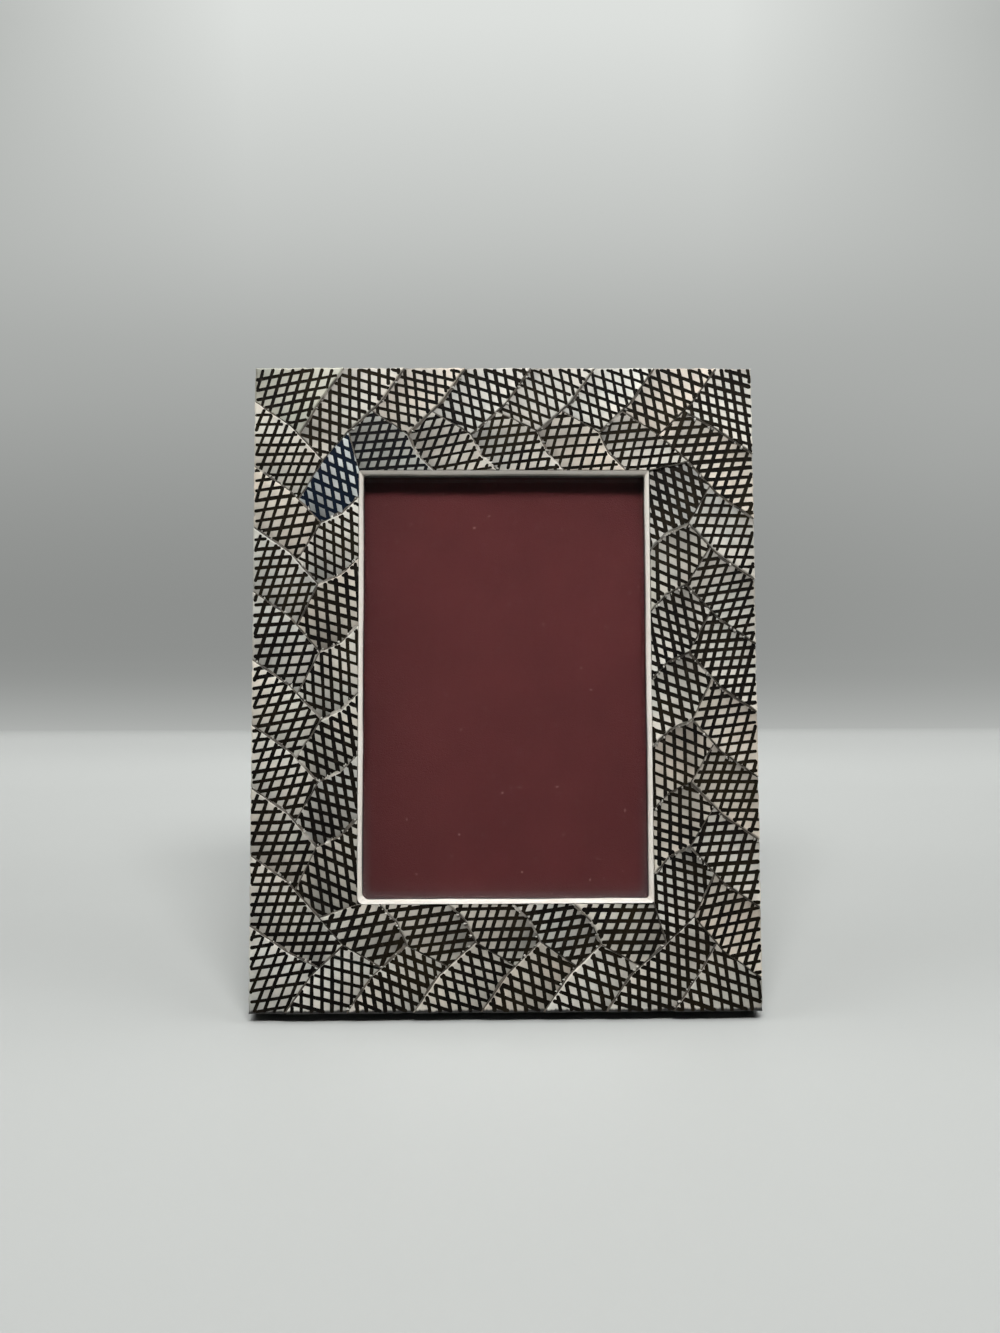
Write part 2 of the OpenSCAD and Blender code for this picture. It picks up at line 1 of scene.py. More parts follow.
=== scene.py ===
"""Looks of the inlaid picture frame: tiles, strips, velvet, glass and hardware.

Lengths are in millimetres until mesh_object() turns them into metres. A rail point is
(u, v, y): u inward from the outer edge, v along the rail, y from the face to the back.
"""

import math
import random
from math import cos, radians, sin

import bpy
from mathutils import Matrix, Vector


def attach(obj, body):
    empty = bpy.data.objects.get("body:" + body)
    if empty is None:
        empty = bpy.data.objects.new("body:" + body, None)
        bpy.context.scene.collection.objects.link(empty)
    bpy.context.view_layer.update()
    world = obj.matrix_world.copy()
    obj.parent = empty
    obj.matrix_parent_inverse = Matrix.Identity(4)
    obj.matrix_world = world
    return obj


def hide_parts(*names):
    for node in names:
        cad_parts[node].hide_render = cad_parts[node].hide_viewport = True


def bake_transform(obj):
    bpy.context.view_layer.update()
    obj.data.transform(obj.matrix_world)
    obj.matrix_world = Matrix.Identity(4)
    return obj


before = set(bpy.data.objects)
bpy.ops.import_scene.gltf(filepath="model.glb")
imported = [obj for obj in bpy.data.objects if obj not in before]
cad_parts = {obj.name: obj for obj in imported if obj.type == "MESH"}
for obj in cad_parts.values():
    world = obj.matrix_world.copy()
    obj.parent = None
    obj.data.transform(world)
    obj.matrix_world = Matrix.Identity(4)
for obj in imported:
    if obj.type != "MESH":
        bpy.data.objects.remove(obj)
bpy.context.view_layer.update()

# Sizes of the part's source
WIDE = 165.0
HIGH = 211.0
RAIL_W = 36.0
DEEP = 16.0
LEAN = radians(12)
PIVOT_Y = -21.8483
TILE_T = 2.3
JOINT_W = 0.4
TILE_PITCH = 21.3
FIRST_SEAM = 11.0
LAST_SEAM = 29.0
TIP_REACH = 22.0
TIP_LEAD = 19.5
INNER_BACK = 9.0
TILE_TILT = 2.4
SEAM_JITTER = 0.7
BEAD_W = 1.5
BEAD_DROP = 0.3
WOOD_Y = 2.9
EDGE_T = 1.6
EDGE_PIECE = 54.0
EDGE_JOINT = 0.3
REBATE_EDGE = 29.0
GLASS_PLAY = 0.5
CARD_FACE_Y = 8.0
CARD_Y = 8.5
PANEL_Y = 10.0
PANEL_BACK_Y = 15.5
PANEL_PLAY = 0.3
PANEL_CORNER = 3.0
FIELD_W = RAIL_W - BEAD_W
MID_REACH = 0.55 * TIP_REACH
MID_LEAD = 0.44 * TIP_LEAD
RETURN_SHARE = 0.25
LEFT, BOTTOM, RIGHT, TOP = range(4)
RAIL_NAMES = ["left", "bottom", "right", "top"]

# Strut, from its hinge axis
HINGE_Y = 17.6
HINGE_H = 142.0
STRUT_OPEN_DEG = 23
STRUT_OPEN = radians(STRUT_OPEN_DEG)
STRUT_IN = -1.8
STRUT_OUT = 1.3
STRUT_START = 2.7
STRUT_DRAWN = 141.0
STRUT_TOP_W = 27.0
STRUT_FOOT_W = 48.0
STAY_REACH = 92.0
STAY_W = 10.0
STAY_T = 0.5
STAY_TAB = 9.0


# Places


def leaned(x, y, z):
    """A point of the frame, as it stands."""
    back = y - DEEP
    return (
        x,
        PIVOT_Y + back * cos(LEAN) + z * sin(LEAN),
        -back * sin(LEAN) + z * cos(LEAN),
    )


def on_rail(rail, u, v, y):
    """A rail point as a point of the standing frame."""
    if rail == LEFT:
        return leaned(-WIDE / 2 + u, y, HIGH - v)
    if rail == BOTTOM:
        return leaned(-WIDE / 2 + v, y, u)
    if rail == RIGHT:
        return leaned(WIDE / 2 - u, y, v)
    return leaned(WIDE / 2 - v, y, HIGH - u)


def on_strut(x, y, z):
    """A point drawn from the hinge axis down, on the open strut."""
    turned_y = y * cos(STRUT_OPEN) - z * sin(STRUT_OPEN)
    turned_z = y * sin(STRUT_OPEN) + z * cos(STRUT_OPEN)
    return leaned(x, HINGE_Y + turned_y, HINGE_H + turned_z)


# Meshes


def tube(first, n, rings, turned=False):
    """Faces over both ends and round a stack of rings of n points each."""
    last = first + (rings - 1) * n
    faces = [list(range(first, first + n)), list(range(last + n - 1, last - 1, -1))]
    for a in range(first, last, n):
        for k in range(n):
            j = (k + 1) % n
            faces.append([a + k, a + n + k, a + n + j, a + j])
    return [face[:1] + face[:0:-1] for face in faces] if turned else faces


def added(name, data):
    """A new object in the scene."""
    obj = bpy.data.objects.new(name, data)
    bpy.context.scene.collection.objects.link(obj)
    return obj


def mesh_object(name, points, faces, mats, face_mats=None):
    """A mesh object from points in millimetres."""
    mesh = bpy.data.meshes.new(name)
    mesh.from_pydata([Vector(p) * 0.001 for p in points], [], faces)
    for mat in mats:
        mesh.materials.append(mat)
    if face_mats:
        mesh.polygons.foreach_set("material_index", face_mats)
    mesh.update()
    return added(name, mesh)


def smooth(obj, angle):
    """Shades a piece smooth up to an angle between its faces."""
    obj.data.shade_smooth()
    bpy.context.view_layer.update()
    obj.data.set_sharp_from_angle(angle=radians(angle))
    return obj


def drop(obj):
    """Removes a helper object and its mesh."""
    mesh = obj.data
    bpy.data.objects.remove(obj)
    bpy.data.meshes.remove(mesh)


def volume(mesh):
    """Signed volume of a closed mesh, in cubic millimetres."""
    spots = [v.co * 1000 for v in mesh.vertices]
    origin = spots[0]
    total = 0.0
    for poly in mesh.polygons:
        a, *fan = [spots[k] - origin for k in poly.vertices]
        total += sum(a.dot(b.cross(c)) for b, c in zip(fan, fan[1:]))
    return total / 6


def outward(obj):
    """Turns a closed mesh's faces to the outside."""
    if volume(obj.data) < 0:
        obj.data.flip_normals()
    return obj


def piece(obj, body, slot, *nodes):
    """Ties a piece to its body and hides the nodes that it stands for. Its finish, the slot, is
    not used.
    """
    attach(obj, body)
    if nodes:
        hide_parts(*nodes)
    return obj


# Tile layout, as in the part's source


def rail_len(rail):
    return HIGH if rail % 2 == 0 else WIDE


def next_rail(rail):
    return (rail + 1) % 4


def last_rail(rail):
    return (rail + 3) % 4


def seams(rail):
    return max(3, round((rail_len(rail) - FIRST_SEAM - LAST_SEAM) / TILE_PITCH))


def uneven(rail, i, which):
    return SEAM_JITTER * sin(radians(97 * i + 131 * rail + 53 * which + 20))


def seam_along(rail, i):
    space = (rail_len(rail) - FIRST_SEAM - LAST_SEAM) / seams(rail)
    return FIRST_SEAM + i * space + uneven(rail, i, 0)


def seam_out(rail, i):
    return Vector((-JOINT_W / 2, seam_along(rail, i)))


def seam_mid(rail, i):
    return Vector((MID_REACH, seam_along(rail, i) + MID_LEAD))


def free_tip(rail, i):
    along = seam_along(rail, i) + TIP_LEAD + uneven(rail, i, 2)
    return Vector((TIP_REACH + uneven(rail, i, 1), along))


def seam_meet(rail, i):
    mid = seam_mid(rail, i)
    return mid + RETURN_SHARE * (free_tip(rail, i) - mid)


def from_next(rail, p):
    return Vector((p[1], rail_len(rail) - p[0]))


def from_last(rail, p):
    return Vector((rail_len(last_rail(rail)) - p[1], p[0]))


def tip(rail, i):
    if i < seams(rail):
        return free_tip(rail, i)
    return from_next(rail, seam_meet(next_rail(rail), 0))


def bead_end(rail, i):
    if i < 1:
        along = FIELD_W
    elif i >= seams(rail) - 1:
        along = rail_len(rail) - FIELD_W
    else:
        along = tip(rail, i)[1] - INNER_BACK
    return Vector((FIELD_W + JOINT_W / 2, along))


def inner_mid(rail, i):
    t = tip(rail, i)
    b = bead_end(rail, i)
    return Vector((t[0] + 0.55 * (b[0] - t[0]), t[1] + 0.35 * (b[1] - t[1])))


def outer_tile(rail, i):
    points = [seam_out(rail, i), seam_mid(rail, i), tip(rail, i)]
    if i < seams(rail) - 1:
        points.append(seam_meet(rail, i + 1))
    else:
        points.append(from_next(rail, free_tip(next_rail(rail), 0)))
        points.append(tip(rail, i + 1))
    return points + [seam_mid(rail, i + 1), seam_out(rail, i + 1)]


def corner_tile(rail):
    n = seams(rail)
    after = next_rail(rail)
    points = [seam_out(rail, n), seam_mid(rail, n), tip(rail, n)]
    points += [from_next(rail, p) for p in (seam_mid(after, 0), seam_out(after, 0))]
    return points + [Vector((-JOINT_W / 2, rail_len(rail) + JOINT_W / 2))]


def inner_tile(rail, i):
    if i == 1:
        before = last_rail(rail)
        middle = from_last(rail, tip(before, seams(before) - 1))
    else:
        middle = inner_mid(rail, i - 1)
    points = [tip(rail, i - 1), middle, bead_end(rail, i - 1), bead_end(rail, i)]
    if i < seams(rail) - 1:
        points.append(inner_mid(rail, i))
    return points + [tip(rail, i), seam_meet(rail, i)]


# Outlines


def left_of(way):
    return Vector((-way[1], way[0]))


def with_normals(line):
    """Each point of a line, with the unit normal to its left."""
    spots = zip(line, line[:1] + line[:-1], line[1:] + line[-1:])
    return [(p, left_of((ahead - behind).normalized())) for p, behind, ahead in spots]


def sides(points):
    """Both ends of each side of an outline."""
    return list(zip(points, points[1:] + points[:1]))


def cross(a, b):
    return a[0] * b[1] - a[1] * b[0]


def turn(points):
    return 1 if sum(cross(a, b) for a, b in sides(points)) > 0 else -1


def side_normal(a, b, way):
    """Unit normal of a side, pointing into the outline."""
    return left_of((b - a).normalized()) * way


def drawn_in(points, by):
    """Outline with every side moved in by its own distance."""
    way = turn(points)
    normals = [side_normal(a, b, way) for a, b in sides(points)]
    moved = []
    for k, p in enumerate(points):
        before = normals[k - 1]
        after = normals[k]
        across = cross(before, after)
        if abs(across) < 0.12:
            moved.append(p + (before + after).normalized() * (by[k - 1] + by[k]) / 2)
            continue
        x = (by[k - 1] * after[1] - by[k] * before[1]) / across
        y = (by[k] * before[0] - by[k - 1] * after[0]) / across
        moved.append(p + Vector((x, y)))
    return moved


def chord(offset, direction, area):
    """Where a straight line enters and leaves an outline, or None."""
    cuts = []
    for a, b in sides(area):
        da = a.dot(left_of(direction)) - offset
        db = b.dot(left_of(direction)) - offset
        if (da > 0) != (db > 0):
            at = a + (b - a) * (da / (da - db))
            cuts.append(at.dot(direction))
    return (min(cuts), max(cuts)) if len(cuts) > 1 else None


def bowed(base, direction, span, bow, rng):
    """Points of a hand-cut line, slightly bowed and unsteady."""
    points = []
    for s in (0, 0.25, 0.5, 0.75, 1):
        along = span[0] + (span[1] - span[0]) * s
        drift = bow * 4 * s * (1 - s) + left_of(direction) * rng.uniform(-0.06, 0.06)
        points.append(base + direction * along + drift)
    return points


def stroke_outline(line, half, rng):
    """Closed outline of a hand-cut stroke with round ends."""
    left = []
    right = []
    for p, normal in with_normals(line):
        width = half * rng.uniform(0.88, 1.12)
        left.append(p + normal * width)
        right.append(p - normal * width)
    end = cap(line[-1], line[-1] - line[-2], half)
    return left + end + right[::-1] + cap(line[0], line[0] - line[1], half)


def cap(centre, out, half):
    """Points of a half circle round the end of a stroke."""
    out = out.normalized()
    turns = [radians(a) for a in (60, 30, 0, -30, -60)]
    return [centre + (out * cos(a) + left_of(out) * sin(a)) * half for a in turns]


# Tiles

# Hatching in (u, v) degrees: each family's mean direction and spread
OUTER_HATCH = ((-5, 6), (-72, 5))
INNER_HATCH = ((20, 5), (85, 6))
HATCH_PITCH = (2.9, 3.5)
HATCH_HALF = (0.54, 0.65)
# How broad the lines of each rail are
HATCH_TOOL = {LEFT: 1.02, BOTTOM: 1.12, RIGHT: 1.06, TOP: 0.97}
HATCH_DEEP = 0.3
# Width and depth of the bevel along a tile's plain sides and along its chipped rims
PLAIN_BEVEL = (0.14, 0.16)
RIM_BEVEL = (0.5, 0.34)
# Shades of single tiles, by rail, course and number. An alpha of 0 makes the filling navy
TILE_TONES = {
    (LEFT, "inner", 0): [0.84, 0.92, 1.02, 0],
    (TOP, "inner", seams(TOP) - 2): [0.60, 0.63, 0.645, 0.7],
    (TOP, "outer", seams(TOP)): [0.76, 0.79, 0.74, 1],
}


class Tile:
    """A tile's outline, its tilted face and its hatching. Sides 0 and 1 are its high ones."""

    highs = (0, 1)

    def __init__(self, rail, outline, high, tilt, hatch, rims, rng):
        self.rail = rail
        self.outline = drawn_in(outline, [JOINT_W / 2] * len(outline))
        self.high = high[0]
        self.way = turn(outline)
        self.fall = side_normal(*high, 1)
        if (sum(outline, Vector((0, 0))) / len(outline) - self.high).dot(self.fall) < 0:
            self.fall = -self.fall
        self.slope = math.tan(radians(tilt))
        self.hatch = hatch
        self.rims = rims
        self.rng = rng
        self.rim = rng.choice((0.2, 0.2, 0.36, 0.44))
        self.reach = max((p - self.high).dot(self.fall) for p in outline)
        self.along = (high[1] - high[0]).normalized()
        spread = [p.dot(self.along) for p in outline]
        self.middle = (min(spread) + max(spread)) / 2
        self.half = (max(spread) - min(spread)) / 2

    def depth(self, p):
        """Depth of the tilted face, as in the part's source."""
        return max(0.0, (p - self.high).dot(self.fall)) * self.slope

    def share(self, p):
        """0 at the high edge of the face, 1 at its low end."""
        return min(max((p - self.high).dot(self.fall) / self.reach, 0), 1)

    def crown(self, p):
        """How far the hand-worked face drops below the plain tilted one."""
        across = (p.dot(self.along) - self.middle) / self.half
        return 0.16 * across * across + 0.12 * self.share(p) ** 2

    def holds(self, p):
        """Whether a point lies inside the outline."""
        inside = False
        for a, b in sides(self.outline):
            if (a[1] > p[1]) != (b[1] > p[1]):
                if p[0] < a[0] + (b[0] - a[0]) * (p[1] - a[1]) / (b[1] - a[1]):
                    inside = not inside
        return inside

    def high_sides(self):
        """Both ends of each high side, and its outward normal."""
        ends = sides(self.outline)
        return [(*ends[k], -side_normal(*ends[k], self.way)) for k in self.highs]

    def place(self, p, y):
        return on_rail(self.rail, *p, y)

    def body(self):
        """The plain tile: bevelled rim, tilted face, straight sides."""
        outline, highs, rims = self.chipped()
        n = len(outline)
        bevels = [(self.rim, self.rim) if k in highs else PLAIN_BEVEL for k in range(n)]
        for k in rims:
            bevels[k] = RIM_BEVEL
        face = drawn_in(outline, [width for width, _ in bevels])
        points = [self.place(p, self.depth(p)) for p in face]
        for k, p in enumerate(outline):
            points.append(self.place(p, self.depth(p) + max(bevels[k][1], bevels[k - 1][1])))
        points += [self.place(p, TILE_T) for p in outline]
        return points, tube(0, n, 3)

    def strokes(self):
        """Both families of engraved lines, as (points, half width) lists."""
        rng = self.rng
        pitches = [rng.uniform(*HATCH_PITCH) for _ in (0, 1)]
        angles = [radians(mean + rng.uniform(-by, by)) for mean, by in self.hatch]
        shift = [rng.uniform(0, pitch) for pitch in pitches]
        area = drawn_in(self.outline, self.margins())
        tool = HATCH_TOOL[self.rail] * rng.uniform(0.86, 1.1)
        families = []
        for pitch, angle, start in zip(pitches, angles, shift):
            direction = Vector((cos(angle), sin(angle)))
            normal = left_of(direction)
            reach = [p.dot(normal) for p in self.outline]
            first = math.floor((min(reach) - start) / pitch)
            last = math.ceil((max(reach) - start) / pitch)
            lines = []
            for k in range(first, last + 1):
                offset = start + k * pitch + rng.uniform(-0.12, 0.12)
                bow = normal * rng.uniform(-0.12, 0.12)
                half = tool * rng.uniform(*HATCH_HALF)
                ends = [rng.uniform(-0.15, 0.3) for _ in (0, 1)]
                if rng.random() < 0.12:
                    ends[1] += rng.uniform(0, 1.0)
                cut = chord(offset, direction, area)
                if cut and cut[1] - cut[0] > 0.9 + sum(ends):
                    span = (cut[0] + ends[0], cut[1] - ends[1])
                    lines.append((bowed(normal * offset, direction, span, bow, rng), half))
            families.append(lines)
        return families

    def chipped(self):
        """The outline with small chips, and the numbers of its high sides and rims."""
        points = []
        highs = []
        rims = []
        for k, (a, b) in enumerate(sides(self.outline)):
            rim = k in self.rims
            kind = rims if rim else highs if k in self.highs else []
            points.append(a)
            kind.append(len(points) - 1)
            inward = side_normal(a, b, self.way)
            count = max(2, round((b - a).length / (1.3 if rim else 2.6)))
            for step in range(1, count):
                t = (step + self.rng.uniform(-0.3, 0.3)) / count
                chip = self.rng.uniform(0, 0.3) if self.rng.random() < 0.4 else 0.0
                if not rim:
                    chip = self.rng.uniform(-0.1, 0.16)
                points.append(a + (b - a) * t + inward * chip)
                kind.append(len(points) - 1)
        return points, highs, rims

    def margins(self):
        """How far the hatching stops inside each side."""
        rim = self.rng.uniform(0.55, 0.95)
        plain = self.rng.uniform(-0.45, 0.15)
        high = self.rim + 0.25 if self.rim > 0.3 else 0
        count = range(len(self.outline))
        return [high if k in self.highs else rim if k in self.rims else plain for k in count]

    def cutter(self, lines, mat):
        """Prisms along the lines, from above the face to the groove floor."""
        points = []
        faces = []
        for line, half in lines:
            loop = stroke_outline(line, half, self.rng)
            faces += tube(len(points), len(loop), 2)
            for y in (-2 * HATCH_DEEP, HATCH_DEEP):
                points += [self.place(p, self.depth(p) + y) for p in loop]
        return mesh_object("cutter", points, faces, [mat])


def cut_away(obj, cutter, own):
    """Cuts one mesh out of another. True if that worked."""
    cut = obj.modifiers.new("cut", "BOOLEAN")
    cut.operation = "DIFFERENCE"
    cut.solver = "EXACT"
    cut.material_mode = "TRANSFER"
    cut.use_self = own
    cut.object = cutter
    bpy.context.view_layer.update()
    deps = bpy.context.evaluated_depsgraph_get()
    made = bpy.data.meshes.new_from_object(obj.evaluated_get(deps))
    obj.modifiers.clear()
    worked = 0.6 < volume(made) / volume(obj.data) < 0.999
    unused = obj.data if worked else made
    if worked:
        obj.data = made
    bpy.data.meshes.remove(unused)
    return worked


def carved(tile, bone, ink):
    """The tile's mesh with its hatching cut in. A cut that fails is tried a hair aside."""
    obj = outward(mesh_object("tile", *tile.body(), [bone]))
    for lines in tile.strokes():
        cutter = outward(tile.cutter(lines, ink))
        for step in range(6):
            cutter.location = (0.00003 * step, 0, 0.00002 * step)
            if cut_away(obj, cutter, step % 2 == 1):
                break
        else:
            print("not cut", tile.rail, [round(c) for c in tile.outline[0]])
        drop(cutter)
    return obj


def crowned(tile, obj, tone):
    """Rounds a carved tile's face and paints shade on it: darker towards its low end, a painted
    dark band near the tips and a painted highlight along the outer edge.
    """
    origin = Vector(on_rail(tile.rail, 0, 0, 0))
    steps = ((1, 0, 0), (0, 1, 0), (0, 0, 1))
    axes = [Vector(on_rail(tile.rail, *step)) - origin for step in steps]
    tones_with_painted_light = []
    for vertex in obj.data.vertices:
        out = vertex.co * 1000 - origin
        p = Vector((out.dot(axes[0]), out.dot(axes[1])))
        if out.dot(axes[2]) < TILE_T - 0.1:
            vertex.co += axes[2] * tile.crown(p) * 0.001
        share = tile.share(p)
        # Painted shade: the face darker towards its low end
        light = 1.25 - 0.57 * share**1.2 - 0.9 * max(share - 0.8, 0)
        # Painted shade: a dark band near the tips
        light -= 0.36 * math.exp(-(((p[0] - TIP_REACH) / 5.5) ** 2))
        # Painted highlight along the tile's outer edge
        light += 0.22 * math.exp(-((p[0] / 0.8) ** 2))
        tones_with_painted_light.append([c * light for c in tone[:3]] + tone[3:])
    return tones_with_painted_light


def joined(name, tiles, mats):
    """One mesh from carved tiles, with each vertex's tone and painted shade as an attribute."""
    points = []
    faces = []
    face_mats = []
    colours = []
    for obj, tones_with_painted_light in tiles:
        base = len(points)
        points += [v.co * 1000 for v in obj.data.vertices]
        index = [mats.index(m) for m in obj.data.materials]
        for poly in obj.data.polygons:
            faces.append([base + k for k in poly.vertices])
            face_mats.append(index[poly.material_index])
        colours += [c for tone in tones_with_painted_light for c in tone]
        drop(obj)
    course = mesh_object(name, points, faces, mats, face_mats)
    # The tone attribute holds each tile's own tone with its painted shade and highlight
    layer = course.data.color_attributes.new("tone", "FLOAT_COLOR", "POINT")
    layer.data.foreach_set("color", colours)
    return course


def tone_of(rng, rail, course, i):
    """A tile's own shade of bone."""
    light = rng.uniform(0.78, 1.14)
    warm = rng.uniform(-0.022, 0.022)
    if (rail, course, i) in TILE_TONES:
        return TILE_TONES[rail, course, i]
    if rng.random() < 0.14:
        return [light * 0.97, light * 0.915, light * 0.875, 1]
    return [light * (1 + warm), light, light * (1 - 1.3 * warm), 1]


def course_tiles(rail, course):
    """The tiles of one course of one rail, in order."""
    rng = random.Random(101 * rail + (7 if course == "outer" else 53))
    n = seams(rail)
    tiles = []
    if course == "inner":
        for i in range(1, n):
            high = (tip(rail, i - 1), bead_end(rail, i - 1))
            tilt = TILE_TILT + 0.5 * uneven(rail, i, 4)
            tiles.append(Tile(rail, inner_tile(rail, i), high, tilt, INNER_HATCH, (), rng))
        return tiles
    for i in range(n):
        high = (seam_out(rail, i), tip(rail, i))
        tilt = TILE_TILT + 0.5 * uneven(rail, i, 3)
        shape = outer_tile(rail, i)
        tiles.append(Tile(rail, shape, high, tilt, OUTER_HATCH, (len(shape) - 1,), rng))
    high = (seam_out(rail, n), tip(rail, n))
    hatch = INNER_HATCH if rail in (TOP, RIGHT) else OUTER_HATCH
    tiles.append(Tile(rail, corner_tile(rail), high, 0.8 * TILE_TILT, hatch, (4, 5), rng))
    return tiles


def add_course(rail, course, tiles, bone, ink):
    """All tiles of one course of one rail, as one piece."""
    carvings = []
    for i, tile in enumerate(tiles):
        obj = carved(tile, bone, ink)
        carvings.append((obj, crowned(tile, obj, tone_of(tile.rng, rail, course, i))))
    name = "%s_%s" % (RAIL_NAMES[rail], course)
    obj = joined("tiles_" + name, carvings, [bone, ink])
    piece(obj, "frame", "tile_bone", "inlay_" + name)


# Filler and crumbs


def fillet_width(seed, t, broad):
    """Uneven width of the filler squeezed out along a high edge."""
    wave = sin(5.1 * t + seed[0]) + 0.7 * sin(11.7 * t + seed[1])
    return min(max(broad * (0.1 + 0.24 * wave + seed[2] * t), 0.0), 1.2)


def add_fillets(rail, course, steep, tiles, broad, mat):
    """Filler left in the steps beside one course's high tiles."""
    rng = random.Random(400 + rail + (0 if course == "outer" else 50))
    points = []
    faces = []
    for tile in steep:
        for a, b, out in tile.high_sides():
            steps = max(3, round((b - a).length / 0.7))
            seed = (rng.uniform(0, 6), rng.uniform(0, 6), rng.uniform(-0.3, 0.75))
            row = []
            for s in range(steps + 1):
                p = a + (b - a) * (s / steps)
                q = p + out * (JOINT_W + fillet_width(seed, s / steps, broad))
                low = [other for other in tiles if other is not tile and other.holds(q)]
                seen = low and (q - p).length > JOINT_W + 0.05
                if seen:
                    row.append((p, q, tile.depth(p) + 0.45, low[0].depth(q) + low[0].crown(q)))
                if not seen or s == steps:
                    add_fillet(rail, points, faces, row)
                    row = []
    name = "filler_%s_%s" % (course, RAIL_NAMES[rail])
    piece(smooth(mesh_object(name, points, faces, [mat]), 60), "frame", "filler")


def add_fillet(rail, points, faces, row):
    """One wedge of filler along a row of (edge, foot, edge depth, foot depth)."""
    if len(row) < 3:
        return
    faces += tube(len(points), 5, len(row), turned=True)
    for k, (p, q, high, low) in enumerate(row):
        if k in (0, len(row) - 1):
            q = p + (q - p) * 0.35
        middle = p + (q - p) * 0.5
        top = min(high, low)
        section = [(p, top), (middle, (top + low) / 2 + 0.06), (q, low - 0.03)]
        section += [(q, low + 0.2), (p, low + 0.2)]
        points += [on_rail(rail, *at, y) for at, y in section]


def add_crumbs(rail, tiles, mat):
    """Pale crumbs of bone and filler caught along the joints."""
    rng = random.Random(700 + rail)
    points = []
    faces = []
    for tile in tiles:
        for a, b, out in tile.high_sides():
            for _ in range(rng.randint(2, 7)):
                centre = a + (b - a) * rng.random() + out * rng.uniform(0.0, 0.8)
                depth = tile.depth(centre) + rng.uniform(0.1, 0.3)
                if any(other.holds(centre) for other in tiles):
                    add_crumb(rail, points, faces, centre, depth, rng)
    name = "filler_crumbs_" + RAIL_NAMES[rail]
    piece(mesh_object(name, points, faces, [mat]), "frame", "filler")


def add_crumb(rail, points, faces, centre, depth, rng):
    """One low, jagged crumb."""
    count = rng.randint(4, 6)
    size = rng.uniform(0.18, 0.5)
    turned = rng.uniform(0, 6)
    faces += tube(len(points), count, 3)
    for y, share in ((depth, 0.45), (depth + 0.25, 1.0), (depth + 0.9, 1.0)):
        for k in range(count):
            a = turned + 2 * math.pi * k / count
            r = size * share * (0.8 + 0.35 * sin(3 * a + turned))
            u = centre[0] + r * cos(a)
            points.append(on_rail(rail, u, centre[1] + 1.5 * r * sin(a), y))


# Bead and edge strips

# Share of the bead's width and of its drop, from the tiles to the opening
BEAD_PROFILE = ((0, 0), (0.06, 0.02), (0.5, 0.34), (0.88, 0.68), (0.96, 0.8), (1, 1))
BEAD_START = FIELD_W + 0.18
# How steeply each rail's bead has worn, and the painted light and shade of each rail's bead
BEAD_SLOPE = {LEFT: 1.0, BOTTOM: 1.0, RIGHT: 0.9, TOP: 0.4}
BEAD_PAINTED_LIGHT_AND_SHADE = {LEFT: 1.12, BOTTOM: 0.92, RIGHT: 1.14, TOP: 0.6}
# Corner radius of the sight opening at the end of each rail
CORNER_R = {LEFT: 2.4, BOTTOM: 1.2, RIGHT: 0.8, TOP: 0.6}
# How far the edge strips' outer edges are eased
EASE = 0.18


def corner_point(rail, inset, radius, share):
    """A point round the corner at the end of a rail."""
    a = radians(90 * share)
    out = Vector((1 - cos(a), sin(a) - 1))
    return Vector((inset, rail_len(rail) - inset)) + radius * out


def corner_ribs(rail, shares):
    """Pairs of outer and inner points round the corner at the end of a rail."""
    small = max(CORNER_R[rail] - 0.4, 0.4)
    ribs = []
    for share in shares:
        outer = corner_point(rail, BEAD_START, small, share)
        ribs.append((outer, corner_point(rail, RAIL_W, CORNER_R[rail], share)))
    return ribs


def bead_ribs(rail):
    """Pairs of outer and inner points along a rail's bead, from mitre to mitre."""
    before = corner_ribs(last_rail(rail), (0.5, 0.6, 0.7, 0.8, 0.9, 1.0))
    ribs = [(from_last(rail, outer), from_last(rail, inner)) for outer, inner in before]
    start = ribs[-1][1][1]
    stop = rail_len(rail) - RAIL_W - CORNER_R[rail]
    for k in range(1, 14):
        v = start + (stop - start) * k / 14
        wave = 0.08 * sin(0.11 * v + rail) + 0.05 * sin(0.37 * v + 2 * rail)
        ribs.append((Vector((BEAD_START, v)), Vector((RAIL_W + wave, v))))
    return ribs + corner_ribs(rail, (0, 0.1, 0.2, 0.3, 0.4, 0.5))


def add_bead(rail, mat):
    """Worn bead, sloping into the opening, with its rounded corners."""
    deep = BEAD_W * BEAD_SLOPE[rail]
    section = [(share, BEAD_DROP + deep * fall) for share, fall in BEAD_PROFILE]
    section += [(1, WOOD_Y), (0, WOOD_Y)]
    ribs = bead_ribs(rail)
    points = []
    for outer, inner in ribs:
        points += [on_rail(rail, *(outer + (inner - outer) * share), y) for share, y in section]
    faces = tube(0, len(section), len(ribs), turned=True)
    obj = outward(mesh_object("strip_bead_" + RAIL_NAMES[rail], points, faces, [mat]))
    piece(smooth(obj, 50), "frame", "strip_bone", "bead_" + RAIL_NAMES[rail])


